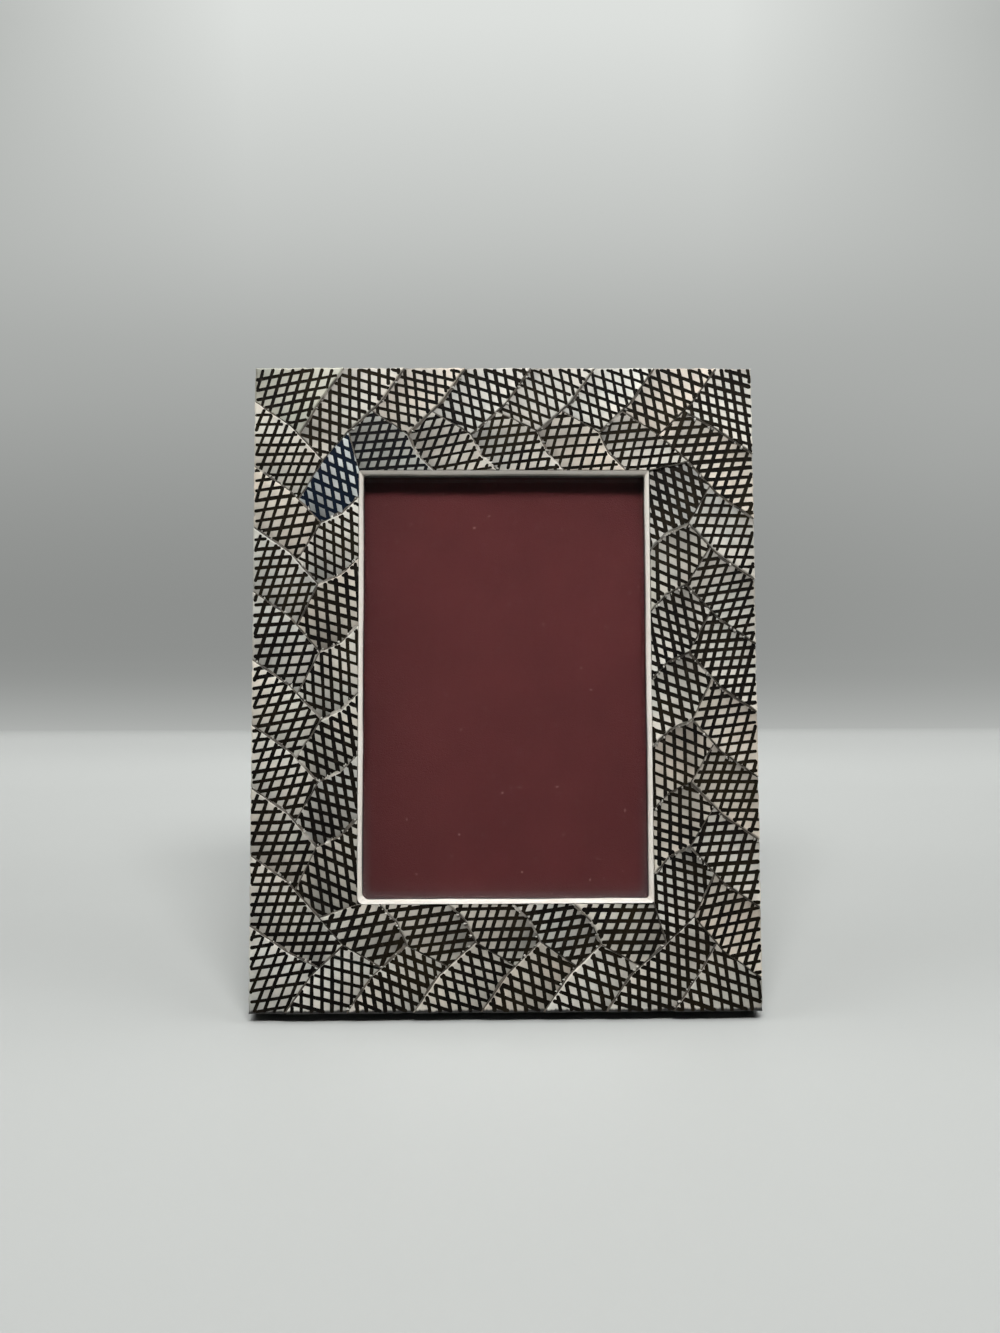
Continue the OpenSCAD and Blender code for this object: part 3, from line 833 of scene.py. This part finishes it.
def add_edge_strips(rail, mat):
    """Edge strips in lengths, with eased edges and mitred ends."""
    count = max(2, round(rail_len(rail) / EDGE_PIECE))
    part = rail_len(rail) / count
    rng = random.Random(900 + rail)
    points = []
    faces = []
    for i in range(count):
        start = i * part + EDGE_JOINT / 2
        stop = (i + 1) * part - EDGE_JOINT / 2
        step = rng.uniform(0, 0.06)
        ring = [(step, WOOD_Y + EASE), (step + EASE, WOOD_Y), (EDGE_T, WOOD_Y)]
        ring += [(EDGE_T, DEEP), (step + EASE, DEEP), (step, DEEP - EASE)]
        faces += tube(len(points), len(ring), 9, turned=True)
        for s in range(9):
            v = start + (stop - start) * s / 8
            for u, y in ring:
                mitred = min(max(v, u + 0.03), rail_len(rail) - u - 0.03)
                points.append(on_rail(rail, u, mitred, y))
    obj = outward(mesh_object("strip_edge_" + RAIL_NAMES[rail], points, faces, [mat]))
    piece(obj, "frame", "strip_bone", "edge_strip_" + RAIL_NAMES[rail])


# Velvet and ribbon

# Radius of the velvet covers' edges
SLAB_R = 0.45
# Share of the ribbon's half width, and half its thickness there
RIBBON = [(-1, 0.08), (-0.86, 0.21), (-0.7, 0.15), (-0.35, 0.15), (0, 0.15)]
RIBBON += [(0.35, 0.15), (0.7, 0.15), (0.86, 0.21), (1, 0.08)]


def rounded_loop(wide, high, radius):
    """Points of a rounded rectangle about its centre."""
    points = []
    for cx, cz, start in ((1, 1, 0), (-1, 1, 90), (-1, -1, 180), (1, -1, 270)):
        for k in range(6):
            a = radians(start + 18 * k)
            x = cx * (wide / 2 - radius) + radius * cos(a)
            z = cz * (high / 2 - radius) + radius * sin(a)
            points.append(Vector((x, z)))
    return points


def add_display_velvet(mat):
    """Velvet on the display card: a fine grid with a soft nap and dusty edges."""
    wide = WIDE - 2 * REBATE_EDGE - 2 * GLASS_PLAY
    high = HIGH - 2 * REBATE_EDGE - 2 * GLASS_PLAY
    nx = 70
    nz = 100
    row = nx + 1
    grid = []
    for j in range(nz + 1):
        z = -high / 2 + high * j / nz
        grid += [(-wide / 2 + wide * i / nx, z) for i in range(row)]
    points = []
    for x, z in grid:
        lift = 0.03 * sin(0.21 * x + 0.13 * z) + 0.02 * sin(0.4 * z)
        points.append(leaned(x, CARD_FACE_Y + 0.06 + lift, HIGH / 2 + z))
    back = len(grid)
    for x, z in (grid[0], grid[nx], grid[-1], grid[-row]):
        points.append(leaned(x, CARD_Y, HIGH / 2 + z))
    faces = [[a, a + 1, a + row + 1, a + row] for a in range(nz * row) if a % row < nx]
    faces.append([back + 3, back + 2, back + 1, back])
    bottom = range(row)
    right = range(nx, back, row)
    top = range(back - 1, nz * row - 1, -1)
    left = range(nz * row, -1, -row)
    for k, rim in enumerate((bottom, right, top, left)):
        faces.append([*reversed(rim), back + k, back + (k + 1) % 4])
    obj = mesh_object("velvet_display", points, faces, [mat])
    layer = obj.data.attributes.new("dust", "FLOAT", "POINT")
    layer.data.foreach_set("value", [edge_dust(x, z) for x, z in grid] + [0] * 4)
    piece(smooth(obj, 30), "frame", "velvet", "display_velvet")


def edge_dust(x, z):
    """Dust on the velvet close to the opening's sides and foot."""
    half_h = HIGH / 2 - RAIL_W
    inset = 1.2
    radius = 3.0
    qx = abs(x) - (WIDE / 2 - RAIL_W - inset - radius)
    qz = abs(z) - (half_h - inset - radius)
    if z > 0:
        qz = -radius
    out = math.hypot(max(qx, 0), max(qz, 0)) + min(max(qx, qz), 0) - radius
    lower = min(max(-0.6 - 1.6 * z / half_h, 0), 1)
    return min(max(0.5 + out / 1.2, 0), 1) * lower


def add_slab_velvet(name, body, corners, near, far, place, mat):
    """A velvet cover with soft edges round a flat outline."""
    turns = [radians(30 * k) for k in range(4)]
    rings = [(SLAB_R * (1 - sin(a)), near + SLAB_R * (1 - cos(a))) for a in turns]
    rings += [(SLAB_R * (1 - cos(a)), far - SLAB_R * (1 - sin(a))) for a in turns]
    points = []
    for inset, y in rings:
        loop = drawn_in(corners, [inset] * len(corners))
        points += [place(p[0], y, p[1]) for p in loop]
    faces = tube(0, len(corners), len(rings))
    obj = outward(mesh_object("velvet_" + name, points, faces, [mat]))
    piece(smooth(obj, 60), body, "velvet", name + "_velvet")


def foot_reach(y):
    """Distance from the hinge axis to the ground along the strut, at a depth."""
    swing = STRUT_OPEN - LEAN
    hinge_z = HINGE_H * cos(LEAN) - (HINGE_Y - DEEP) * sin(LEAN)
    return (hinge_z + y * sin(swing)) / cos(swing)


def strut_place(x, y, z):
    """A point of the strut's sleeve, with its foot cut level."""
    if z < -STRUT_DRAWN / 2:
        z += STRUT_DRAWN + 0.02 - foot_reach(y)
    return on_strut(x, y, z)


def add_strut_velvet(mat):
    top = STRUT_TOP_W / 2
    foot = STRUT_FOOT_W / 2
    corners = [(-top, -STRUT_START), (-foot, -STRUT_DRAWN)]
    corners += [(foot, -STRUT_DRAWN), (top, -STRUT_START)]
    corners = [Vector(p) for p in corners]
    add_slab_velvet("strut", "strut", corners, STRUT_IN, STRUT_OUT, strut_place, mat)


def panel_place(x, y, z):
    """A point of the back panel, from its middle."""
    return leaned(x, y, HIGH / 2 + z)


def add_panel_velvet(mat):
    play = 2 * (REBATE_EDGE + PANEL_PLAY)
    corners = rounded_loop(WIDE - play, HIGH - play, PANEL_CORNER)
    near = PANEL_Y + 0.05
    add_slab_velvet("panel", "frame", corners, near, PANEL_BACK_Y, panel_place, mat)


def stay_path():
    """Middle line of the ribbon in the frame's (y, z), with its two bends."""
    sine = sin(STRUT_OPEN)
    cosine = cos(STRUT_OPEN)
    half = STAY_T / 2
    level = HINGE_H - STAY_REACH * cosine + STRUT_IN * sine
    y = PANEL_BACK_Y + half
    start = y + 0.95
    stop = HINGE_Y + STAY_REACH * sine + STRUT_IN * cosine - 1.4
    path = [(y, level - STAY_TAB + (STAY_TAB - 1.2) * k / 5) for k in range(6)]
    for k in range(1, 5):
        a = radians(18 * k)
        path.append((start - 0.95 * cos(a), level - 1.2 + 0.95 * sin(a)))
    for k in range(17):
        sag = 0.35 * sin(math.pi * k / 16)
        path.append((start + (stop - start) * k / 16, level - half - sag))
    for k in range(1, 5):
        a = radians((90 - STRUT_OPEN_DEG) * k / 5)
        path.append((stop + 0.9 * sin(a), level - half - 0.9 * (1 - cos(a))))
    across = STRUT_IN - half
    for k in range(1, 8):
        reach = STAY_REACH + 0.9 + (STAY_TAB - 0.9) * k / 7
        y = HINGE_Y + reach * sine + across * cosine
        path.append((y, HINGE_H - reach * cosine + across * sine))
    return [Vector(p) for p in path]


def add_ribbon(mat):
    """Woven ribbon stay, thin and taut, with thicker selvedges."""
    path = stay_path()
    ring = RIBBON + [(share, -half) for share, half in reversed(RIBBON)]
    points = []
    for p, normal in with_normals(path):
        points += [leaned(share * STAY_W / 2, *(p + normal * half)) for share, half in ring]
    faces = tube(0, len(ring), len(path), turned=True)
    obj = smooth(mesh_object("ribbon_stay", points, faces, [mat]), 60)
    return piece(obj, "frame", "ribbon", "stay_ribbon"), path


def tie_ribbon(obj, path):
    """Frees the ribbon from its body and bakes its place into its mesh. Its ends and length are
    worked out but not used.
    """
    world = obj.matrix_world.copy()
    obj.parent = None
    obj.matrix_world = world
    start = [c * 0.001 for c in leaned(0, *path[len(path) // 3 - 3])]
    end = [c * 0.001 for c in leaned(0, *path[-9])]
    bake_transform(obj)
    length = sum((b - a).length for a, b in zip(path, path[1:]))


# Materials


class Nodes:
    """A shader tree under construction."""

    def __init__(self, tree, space):
        self.tree = tree
        self.coords = self.add("TexCoord").outputs[space]

    def add(self, kind, **settings):
        node = self.tree.nodes.new("ShaderNode" + kind)
        for key, value in settings.items():
            setattr(node, key, value)
        return node

    def feed(self, value, socket):
        """Links a socket to another, or sets it to a number or a colour."""
        if isinstance(value, bpy.types.NodeSocket):
            self.tree.links.new(value, socket)
        elif isinstance(value, tuple):
            socket.default_value = (*value, 1.0)
        else:
            socket.default_value = value

    def fed(self, kind, *values, **settings):
        """Adds a node, feeds its first sockets and returns its first output."""
        node = self.add(kind, **settings)
        for value, socket in zip(values, node.inputs):
            self.feed(value, socket)
        return node.outputs[0]

    def split(self):
        """The coordinates' X, Y and Z."""
        node = self.add("SeparateXYZ")
        self.feed(self.coords, node.inputs[0])
        return node.outputs

    def stretched(self, scale):
        """The coordinates with another scale along each axis."""
        node = self.add("Mapping")
        node.inputs["Scale"].default_value = scale
        self.feed(self.coords, node.inputs["Vector"])
        return node.outputs["Vector"]

    def attribute(self, name, output):
        return self.add("Attribute", attribute_name=name).outputs[output]

    def noise(self, scale, detail=3.0, rough=0.55, coords=None):
        """Noise. Its second socket is for other dimensions."""
        return self.fed("TexNoise", coords or self.coords, 0.0, scale, detail, rough)

    def spread(self, value, low, high, out_low, out_high):
        """Maps a value from one range to another."""
        return self.fed("MapRange", value, low, high, out_low, out_high)

    def maths(self, kind, a, b=0.0):
        """A sum on two values. Each is a socket or a number."""
        return self.fed("Math", a, b, operation=kind)

    def mix(self, fac, a, b, kind="MIX"):
        """Mixes two colours. Each is a socket or a colour."""
        node = self.add("Mix", data_type="RGBA", blend_type=kind)
        for value, number in ((fac, 0), (a, 6), (b, 7)):
            self.feed(value, node.inputs[number])
        return node.outputs[2]

    def vary(self, value, low, high, a, b, most=1):
        """Goes from one colour towards another as a value rises."""
        return self.mix(self.spread(value, low, high, 0, most), a, b)

    def blend(self, fac, main, other, output):
        """Mixes another shader over the main one."""
        mixed = self.fed("MixShader", fac, main.outputs[0], other.outputs[0])
        self.feed(mixed, self.tree.nodes[output].inputs["Surface"])


class Paint(Nodes):
    """A material under construction. Its values are set on the shader."""

    def __init__(self, name, **values):
        self.mat = bpy.data.materials.new(name)
        self.mat.use_nodes = True
        super().__init__(self.mat.node_tree, "Object")
        self.shader = self.tree.nodes["Principled BSDF"]
        for key, value in values.items():
            words = [word[0].upper() + word[1:] for word in key.split("_")]
            self.feed(value, self.shader.inputs[" ".join(words)])

    def over(self, fac, other):
        """Mixes another shader over the material's own."""
        self.blend(fac, self.shader, other, "Material Output")

    def glow(self, fac, colour):
        """Shows the material in its own light, by a share."""
        glow = self.add("Emission")
        self.feed(colour, glow.inputs["Color"])
        self.over(fac, glow)

    def rough(self, value):
        self.feed(value, self.shader.inputs["Roughness"])

    def done(self, colour, height=None, distance=0):
        """The material, with its colour and its bumps."""
        self.feed(colour, self.shader.inputs["Base Color"])
        if height:
            node = self.add("Bump")
            self.feed(distance, node.inputs["Distance"])
            self.feed(height, node.inputs["Height"])
            self.feed(node.outputs["Normal"], self.shader.inputs["Normal"])
        return self.mat


def tile_bone_paint():
    paint = Paint("bone_tile", roughness=0.36)
    tone = paint.attribute("tone", "Color")
    cloud = paint.noise(190, 4, 0.6)
    fleck = paint.noise(1500, 2, 0.5)
    grain = paint.noise(420, 3, 0.6, paint.stretched((1.0, 1.0, 0.25)))
    body = paint.vary(cloud, 0.3, 0.7, (0.372, 0.360, 0.320), (0.53, 0.508, 0.449))
    body = paint.vary(grain, 0.55, 0.75, body, (0.38, 0.36, 0.32), 0.35)
    body = paint.vary(fleck, 0.62, 0.75, body, (0.28, 0.26, 0.23), 0.35)
    cast = paint.vary(paint.noise(75, 2), 0.4, 0.6, (1.02, 0.99, 0.97), (0.98, 1.0, 1.0))
    body = paint.mix(1.0, body, cast, "MULTIPLY")
    # Height for a painted shadow at the foot, made uneven by the grain
    foot = paint.maths("ADD", paint.split()["Z"], paint.spread(grain, 0.3, 0.7, -0.0004, 0.0004))
    # The tone attribute brings each tile's own tone and its painted shade and highlight
    body = paint.mix(1.0, body, tone, "MULTIPLY")
    paint.rough(paint.spread(cloud, 0.3, 0.7, 0.30, 0.46))
    # Painted shadow: near-black below about 4 mm above the floor
    body = paint.vary(foot, 0.0040, 0.0046, (0.010, 0.009, 0.008), body)
    return paint.done(body, fleck, 0.00003)


def ink_paint():
    """Black filling, brown in places and navy where the tone's alpha is 0."""
    paint = Paint("black_filling", roughness=0.6, specular_IOR_level=0.05)
    worn = paint.noise(700, 3)
    cast = paint.noise(45, 2)
    plain = paint.attribute("tone", "Alpha")
    body = paint.vary(cast, 0.4, 0.7, (0.003, 0.0025, 0.002), (0.012, 0.009, 0.004))
    body = paint.vary(worn, 0.5, 0.85, body, (0.035, 0.028, 0.020), 0.6)
    return paint.done(paint.mix(plain, (0.003, 0.007, 0.015), body), worn, 0.00004)


def strip_bone_paint(name, tone):
    """Worn bone, with painted shade: darker high up, and near-black where it stands as a painted
    shadow.
    """
    paint = Paint(name, roughness=0.4)
    cloud = paint.noise(120, 4, 0.6)
    fleck = paint.noise(1300, 2)
    # The tone scales the bone; for the beads it is each rail's painted light and shade
    dull = (0.66 * tone, 0.615 * tone, 0.545 * tone)
    clean = (0.73 * tone, 0.70 * tone, 0.645 * tone)
    body = paint.vary(cloud, 0.35, 0.7, dull, clean)
    body = paint.vary(fleck, 0.62, 0.78, body, (0.45, 0.38, 0.30), 0.5)
    height = paint.split()["Z"]
    # Painted shade: darker high up
    body = paint.vary(height, 0.11, 0.175, body, (0.26, 0.235, 0.20), 0.15)
    paint.rough(paint.spread(cloud, 0.3, 0.7, 0.34, 0.5))
    # Painted shadow: near-black within about 4 mm of the floor
    body = paint.vary(height, 0.0030, 0.0042, (0.012, 0.010, 0.008), body)
    return paint.done(body, fleck, 0.00003)


def filler_paint(name, share):
    """Filler, dirty brown with bare and pale places."""
    paint = Paint(name, roughness=0.7)
    cloud = paint.noise(260, 4, 0.65)
    place = paint.noise(80, 3, 0.5)
    grit = paint.noise(2200, 2)
    dirty = paint.vary(cloud, 0.35, 0.68, (0.02, 0.017, 0.013), (0.12, 0.10, 0.075))
    pale = paint.vary(cloud, 0.35, 0.65, (0.25, 0.23, 0.19), (0.66, 0.63, 0.56))
    body = paint.vary(place, 0.70 - share, 0.84 - share, dirty, pale)
    return paint.done(paint.vary(grit, 0.5, 0.8, body, (0.06, 0.05, 0.04), 0.6), grit, 0.00008)


def crumb_paint():
    paint = Paint("pale_crumbs", roughness=0.6)
    cloud = paint.noise(330, 3)
    return paint.done(paint.vary(cloud, 0.35, 0.65, (0.34, 0.32, 0.28), (0.72, 0.70, 0.64)))


def wood_paint():
    paint = Paint("black_wood", roughness=0.5)
    grain = paint.noise(900, 4, 0.6, paint.stretched((1.0, 1.0, 0.12)))
    cloud = paint.noise(60, 3)
    paint.rough(paint.spread(grain, 0.3, 0.7, 0.42, 0.62))
    body = paint.vary(cloud, 0.3, 0.75, (0.010, 0.009, 0.008), (0.020, 0.016, 0.013))
    return paint.done(body, grain, 0.00006)


def velvet_paint():
    """Burgundy pile with lint, darker at the left and dusty where its attribute says so."""
    paint = Paint(
        "burgundy_velvet",
        roughness=0.92,
        sheen_weight=0.06,
        sheen_roughness=0.4,
        sheen_tint=(0.55, 0.30, 0.30),
        specular_IOR_level=0.15,
    )
    dust = paint.attribute("dust", "Fac")
    nap = paint.noise(45, 3, 0.5)
    pile = paint.noise(2600, 2)
    lint = paint.noise(700, 1, 0.4)
    body = paint.vary(nap, 0.3, 0.7, (0.0455, 0.0082, 0.0087), (0.057, 0.0111, 0.0116))
    body = paint.vary(pile, 0.35, 0.7, body, (0.045, 0.011, 0.011), 0.4)
    body = paint.vary(lint, 0.76, 0.80, body, (0.24, 0.15, 0.14), 0.5)
    aside = paint.spread(paint.split()["X"], -0.048, -0.022, 0.7, 0)
    body = paint.mix(aside, body, (0.036, 0.007, 0.0075))
    return paint.done(paint.vary(dust, 0, 1, body, (0.075, 0.055, 0.056), 0.5), pile, 0.00015)


def ribbon_paint():
    paint = Paint("woven_ribbon", roughness=0.6, sheen_weight=0.3)
    wave = paint.add("TexWave", wave_type="BANDS", bands_direction="Y")
    wave.inputs["Scale"].default_value = 420
    paint.feed(paint.coords, wave.inputs["Vector"])
    ribs = wave.outputs["Fac"]
    fade = paint.noise(200, 3)
    body = paint.vary(fade, 0.3, 0.7, (0.075, 0.018, 0.018), (0.11, 0.03, 0.03))
    return paint.done(paint.vary(ribs, 0, 1, body, (0.045, 0.010, 0.010), 0.45), ribs, 0.0001)


def glass_paint():
    """Clear glass with a faint smear. It lets the lamps' light through."""
    values = {"roughness": 0.02, "transmission_weight": 1.0}
    paint = Paint("clear_glass", IOR=1.45, specular_IOR_level=0.25, **values)
    smear = paint.noise(30, 3)
    paint.rough(paint.spread(smear, 0.35, 0.8, 0.01, 0.05))
    tint = paint.mix(paint.noise(12, 1), (0.96, 0.985, 0.97), (0.98, 0.99, 0.985))
    shadow = paint.add("LightPath").outputs["Is Shadow Ray"]
    paint.over(shadow, paint.add("BsdfTransparent"))
    return paint.done(tint)


def metal_paint(name, bright, dull, low, high):
    paint = Paint(name, metallic=1.0, roughness=0.3)
    cloud = paint.noise(150, 4, 0.6)
    scuff = paint.noise(1800, 2, 0.5, paint.stretched((1.0, 0.2, 0.2)))
    paint.rough(paint.spread(scuff, 0.3, 0.7, low, high))
    return paint.done(paint.vary(cloud, 0.42, 0.72, bright, dull), scuff, 0.00001)


def board_paint(name, light, dark, scale):
    paint = Paint(name, roughness=0.85)
    fibre = paint.noise(scale, 4, 0.7, paint.stretched((1.0, 1.0, 0.5)))
    return paint.done(paint.vary(fibre, 0.35, 0.68, dark, light), fibre, 0.0001)


def dress(mat, *names):
    """Gives CAD nodes a material."""
    for name in names:
        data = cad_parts[name].data
        data.materials.clear()
        data.materials.append(mat)


def dress_nodes(filler):
    """Materials of the nodes that keep their CAD shape."""
    dress(wood_paint(), *["rail_" + name for name in RAIL_NAMES])
    dress(filler, "joint_filler")
    dress(glass_paint(), "glass_pane")
    card = board_paint("grey_card", (0.42, 0.36, 0.28), (0.28, 0.23, 0.17), 900)
    dress(card, "display_card")
    board = board_paint("fibreboard", (0.40, 0.28, 0.17), (0.22, 0.14, 0.08), 1400)
    dress(board, "back_panel", "strut_board")
    steel = metal_paint("bright_steel", (0.58, 0.58, 0.59), (0.42, 0.42, 0.43), 0.22, 0.38)
    dress(steel, "corner_nails", "hinge_pin")
    brass = metal_paint("lacquered_brass", (0.80, 0.58, 0.26), (0.56, 0.39, 0.17), 0.20, 0.36)
    dress(brass, "hinge_fixed_leaf", "hinge_moving_leaf", "hinge_panel_rivets")
    dress(brass, "hinge_strut_rivets", "stay_panel_tack", "stay_strut_tack")
    dress(brass, "turn_button_screws", "hanger_strap", "hanger_ring", "hanger_screw")
    for level in ("upper", "lower"):
        dress(brass, "turn_button_%s_left" % level, "turn_button_%s_right" % level)


# Stage, light and camera

# Where the floor meets the wall, and the floor's colour far away. The eye sees the
# backdrop's colours with their painted light and shade, and other light sees it plain
FLOOR_END = 0.9
FAR_FLOOR = (0.60, 0.615, 0.60)
# Pale reflected light on the backdrop's right
RIGHT_CAST = (0.70, 0.72, 0.70)
# The photo's camera: its place, and its focal length in widths of the picture
EYE = (-0.0092, -0.4653, 0.1703)
EYE_DOWN = 7.34
EYE_RIGHT = 0.96
FOCAL = 1.393
SENSOR_W = 36.0


def seen_ray(paint):
    """1 for rays of the camera, of reflections and through the glass, else 0."""
    path = paint.add("LightPath")
    seen = path.outputs["Is Camera Ray"]
    for other in ("Is Glossy Ray", "Is Transmission Ray"):
        seen = paint.maths("MAXIMUM", seen, path.outputs[other])
    return seen


def stops_ramp(paint, value, stops):
    """Colour that follows a value through stops of (value, grey)."""
    ramp = paint.add("ValToRGB")
    ramp.color_ramp.interpolation = "B_SPLINE"
    elements = ramp.color_ramp.elements
    low = stops[0][0]
    high = stops[-1][0]
    for at, _ in stops[1:-1]:
        elements.new((at - low) / (high - low))
    for element, (_, grey) in zip(elements, stops):
        element.color = (grey, grey * 1.03, grey, 1.0)
    paint.feed(paint.spread(value, low, high, 0, 1), ramp.inputs[0])
    return ramp.outputs[0]


def wall_paint():
    """Wall: its colour by height as painted light and shade, darker to the sides as painted
    shade.
    """
    paint = Paint("pale_wall", roughness=0.9)
    place = paint.split()
    height = place["Z"]
    stops = [(0.0, 0.278), (0.014, 0.268), (0.085, 0.263), (0.198, 0.333), (0.311, 0.415)]
    stops += [(0.403, 0.530), (0.502, 0.620), (0.601, 0.722), (0.778, 0.80)]
    body = stops_ramp(paint, height, stops)
    aside = paint.maths("ABSOLUTE", place["X"])
    edge = paint.spread(aside, 0.226, 0.481, 0, 1)
    upper = paint.spread(height, 0.255, 0.601, 0.0, 0.45)
    body = paint.mix(paint.maths("MULTIPLY", edge, upper), body, (0.16, 0.17, 0.16))
    right = paint.spread(place["X"], 0.1, 0.45, 0, 0.09)
    lower = paint.spread(height, 0.20, 0.36, 1, 0)
    body = paint.mix(paint.maths("MULTIPLY", right, lower), body, RIGHT_CAST)
    body = paint.vary(aside, 0.6, 1.2, body, FAR_FLOOR)
    paint.glow(seen_ray(paint), body)
    return paint.done((0.45, 0.46, 0.45))


def floor_paint():
    """Floor: lit near the object, with painted light and shade by depth, and further off
    glowing, with painted shade towards the wall.
    """
    paint = Paint("pale_floor", roughness=0.55)
    cloud = paint.noise(3, 3)
    place = paint.split()
    deep = place["Y"]
    stops = [(-0.25, 0.381), (-0.162, 0.421), (-0.05, 0.486), (0.028, 0.465), (0.097, 0.488)]
    stops += [(0.187, 0.574), (0.309, 0.687), (0.38, 0.746), (0.43, 0.711), (0.5, 0.671)]
    shade = stops_ramp(paint, deep, stops)
    shade = paint.vary(cloud, 0.3, 0.7, shade, (0.4, 0.42, 0.4), 0.04)
    seen = seen_ray(paint)
    shade = paint.mix(seen, (0.2, 0.2, 0.19), shade)
    stops = [(0.44, 0.56), (0.50, 0.42), (0.62, 0.35)]
    stops += [(0.72, 0.31), (0.81, 0.285), (FLOOR_END, 0.278)]
    behind = stops_ramp(paint, deep, stops)
    length = paint.add("VectorMath", operation="LENGTH")
    paint.feed(paint.coords, length.inputs[0])
    away = paint.spread(length.outputs["Value"], 0.42, 0.85, 0, 1)
    past = paint.spread(deep, 0.47, 0.51, 0, 1)
    wide = paint.spread(paint.maths("ABSOLUTE", place["X"]), 0.6, 1.2, 1, 0)
    past = paint.maths("MULTIPLY", past, wide)
    right = paint.spread(place["X"], 0.1, 0.45, 0, 0.09)
    behind = paint.mix(right, behind, RIGHT_CAST)
    colour = paint.mix(past, FAR_FLOOR, behind)
    far = paint.maths("MAXIMUM", away, past)
    paint.glow(paint.maths("MULTIPLY", seen, far), colour)
    return paint.done(shade)


def add_stage():
    back = FLOOR_END * 1000
    near = [(-3000, -4000, 0), (3000, -4000, 0)]
    floor = near + [(3000, back, 0), (-3000, back, 0)]
    wall = [(-3000, back, -5), (3000, back, -5), (3000, back, 2500), (-3000, back, 2500)]
    mesh_object("stage_floor", floor, [[0, 1, 2, 3]], [floor_paint()])
    mesh_object("stage_wall", wall, [[0, 1, 2, 3]], [wall_paint()])


def add_world():
    """Dim light from all round. The eye sees it pale, and dim high up in front."""
    world = bpy.data.worlds.new("studio")
    bpy.context.scene.world = world
    world.use_nodes = True
    nodes = Nodes(world.node_tree, "Generated")
    dim = nodes.tree.nodes["Background"]
    nodes.feed((0.95, 0.97, 1.0), dim.inputs["Color"])
    nodes.feed(0.02, dim.inputs["Strength"])
    pale = nodes.add("Background")
    nodes.feed(FAR_FLOOR, pale.inputs["Color"])
    place = nodes.split()
    low = nodes.spread(place["Z"], 0.04, 0.28, 1, 0)
    front = nodes.spread(place["Y"], -0.97, -0.8, 1, 0)
    above = nodes.spread(place["Z"], 0.09, 0.14, 0, 1)
    rest = nodes.maths("SUBTRACT", 1.0, nodes.maths("MULTIPLY", front, above))
    share = nodes.maths("MULTIPLY", low, rest)
    share = nodes.maths("MULTIPLY", share, seen_ray(nodes))
    nodes.blend(share, dim, pale, "World Output")


def add_light(name, place, target, size, energy):
    data = bpy.data.lights.new(name, "AREA")
    data.shape = "RECTANGLE"
    data.size, data.size_y = size
    data.energy = energy
    obj = added(name, data)
    obj.location = place
    aim = Vector(target) - Vector(place)
    obj.rotation_euler = aim.to_track_quat("-Z", "Y").to_euler()
    obj.visible_camera = False


def add_lights():
    add_light("key", (0.02, -0.52, 0.80), (0, 0, 0.1), (0.40, 0.18), 8.55)
    for side in (-1, 1):
        add_light("side", (0.75 * side, 0.05, 1.5), (0, 0, 0.05), (0.9, 0.9), 8.0)


def add_camera():
    data = bpy.data.cameras.new("photo_camera")
    data.sensor_fit = "HORIZONTAL"
    data.sensor_width = SENSOR_W
    data.lens = SENSOR_W * FOCAL
    obj = added("photo_camera", data)
    obj.location = EYE
    obj.rotation_euler = (radians(90 - EYE_DOWN), 0, radians(-EYE_RIGHT))
    bpy.context.scene.camera = obj


def build():
    bone = tile_bone_paint()
    ink = ink_paint()
    strip = strip_bone_paint("bone_strip", 1.0)
    filler = filler_paint("joint_filler", 0.1)
    pale = filler_paint("pale_filler", 0.22)
    crumb = crumb_paint()
    velvet = velvet_paint()
    for rail in (LEFT, BOTTOM, RIGHT, TOP):
        outer = course_tiles(rail, "outer")
        inner = course_tiles(rail, "inner")
        add_course(rail, "outer", outer, bone, ink)
        add_course(rail, "inner", inner, bone, ink)
        add_fillets(rail, "outer", outer, outer + inner, 0.6, filler)
        add_fillets(rail, "inner", inner, outer + inner, 0.85, pale)
        add_crumbs(rail, outer + inner, crumb)
        # Each bead gets its own copy of the bone, with its rail's painted light and shade
        add_bead(rail, strip_bone_paint("bone_bead_" + RAIL_NAMES[rail], BEAD_PAINTED_LIGHT_AND_SHADE[rail]))
        add_edge_strips(rail, strip)
    add_display_velvet(velvet)
    add_panel_velvet(velvet)
    add_strut_velvet(velvet)
    tie_ribbon(*add_ribbon(ribbon_paint()))
    dress_nodes(filler)
    add_stage()
    add_world()
    add_lights()
    add_camera()
    bpy.context.scene.view_settings.view_transform = "Standard"


build()
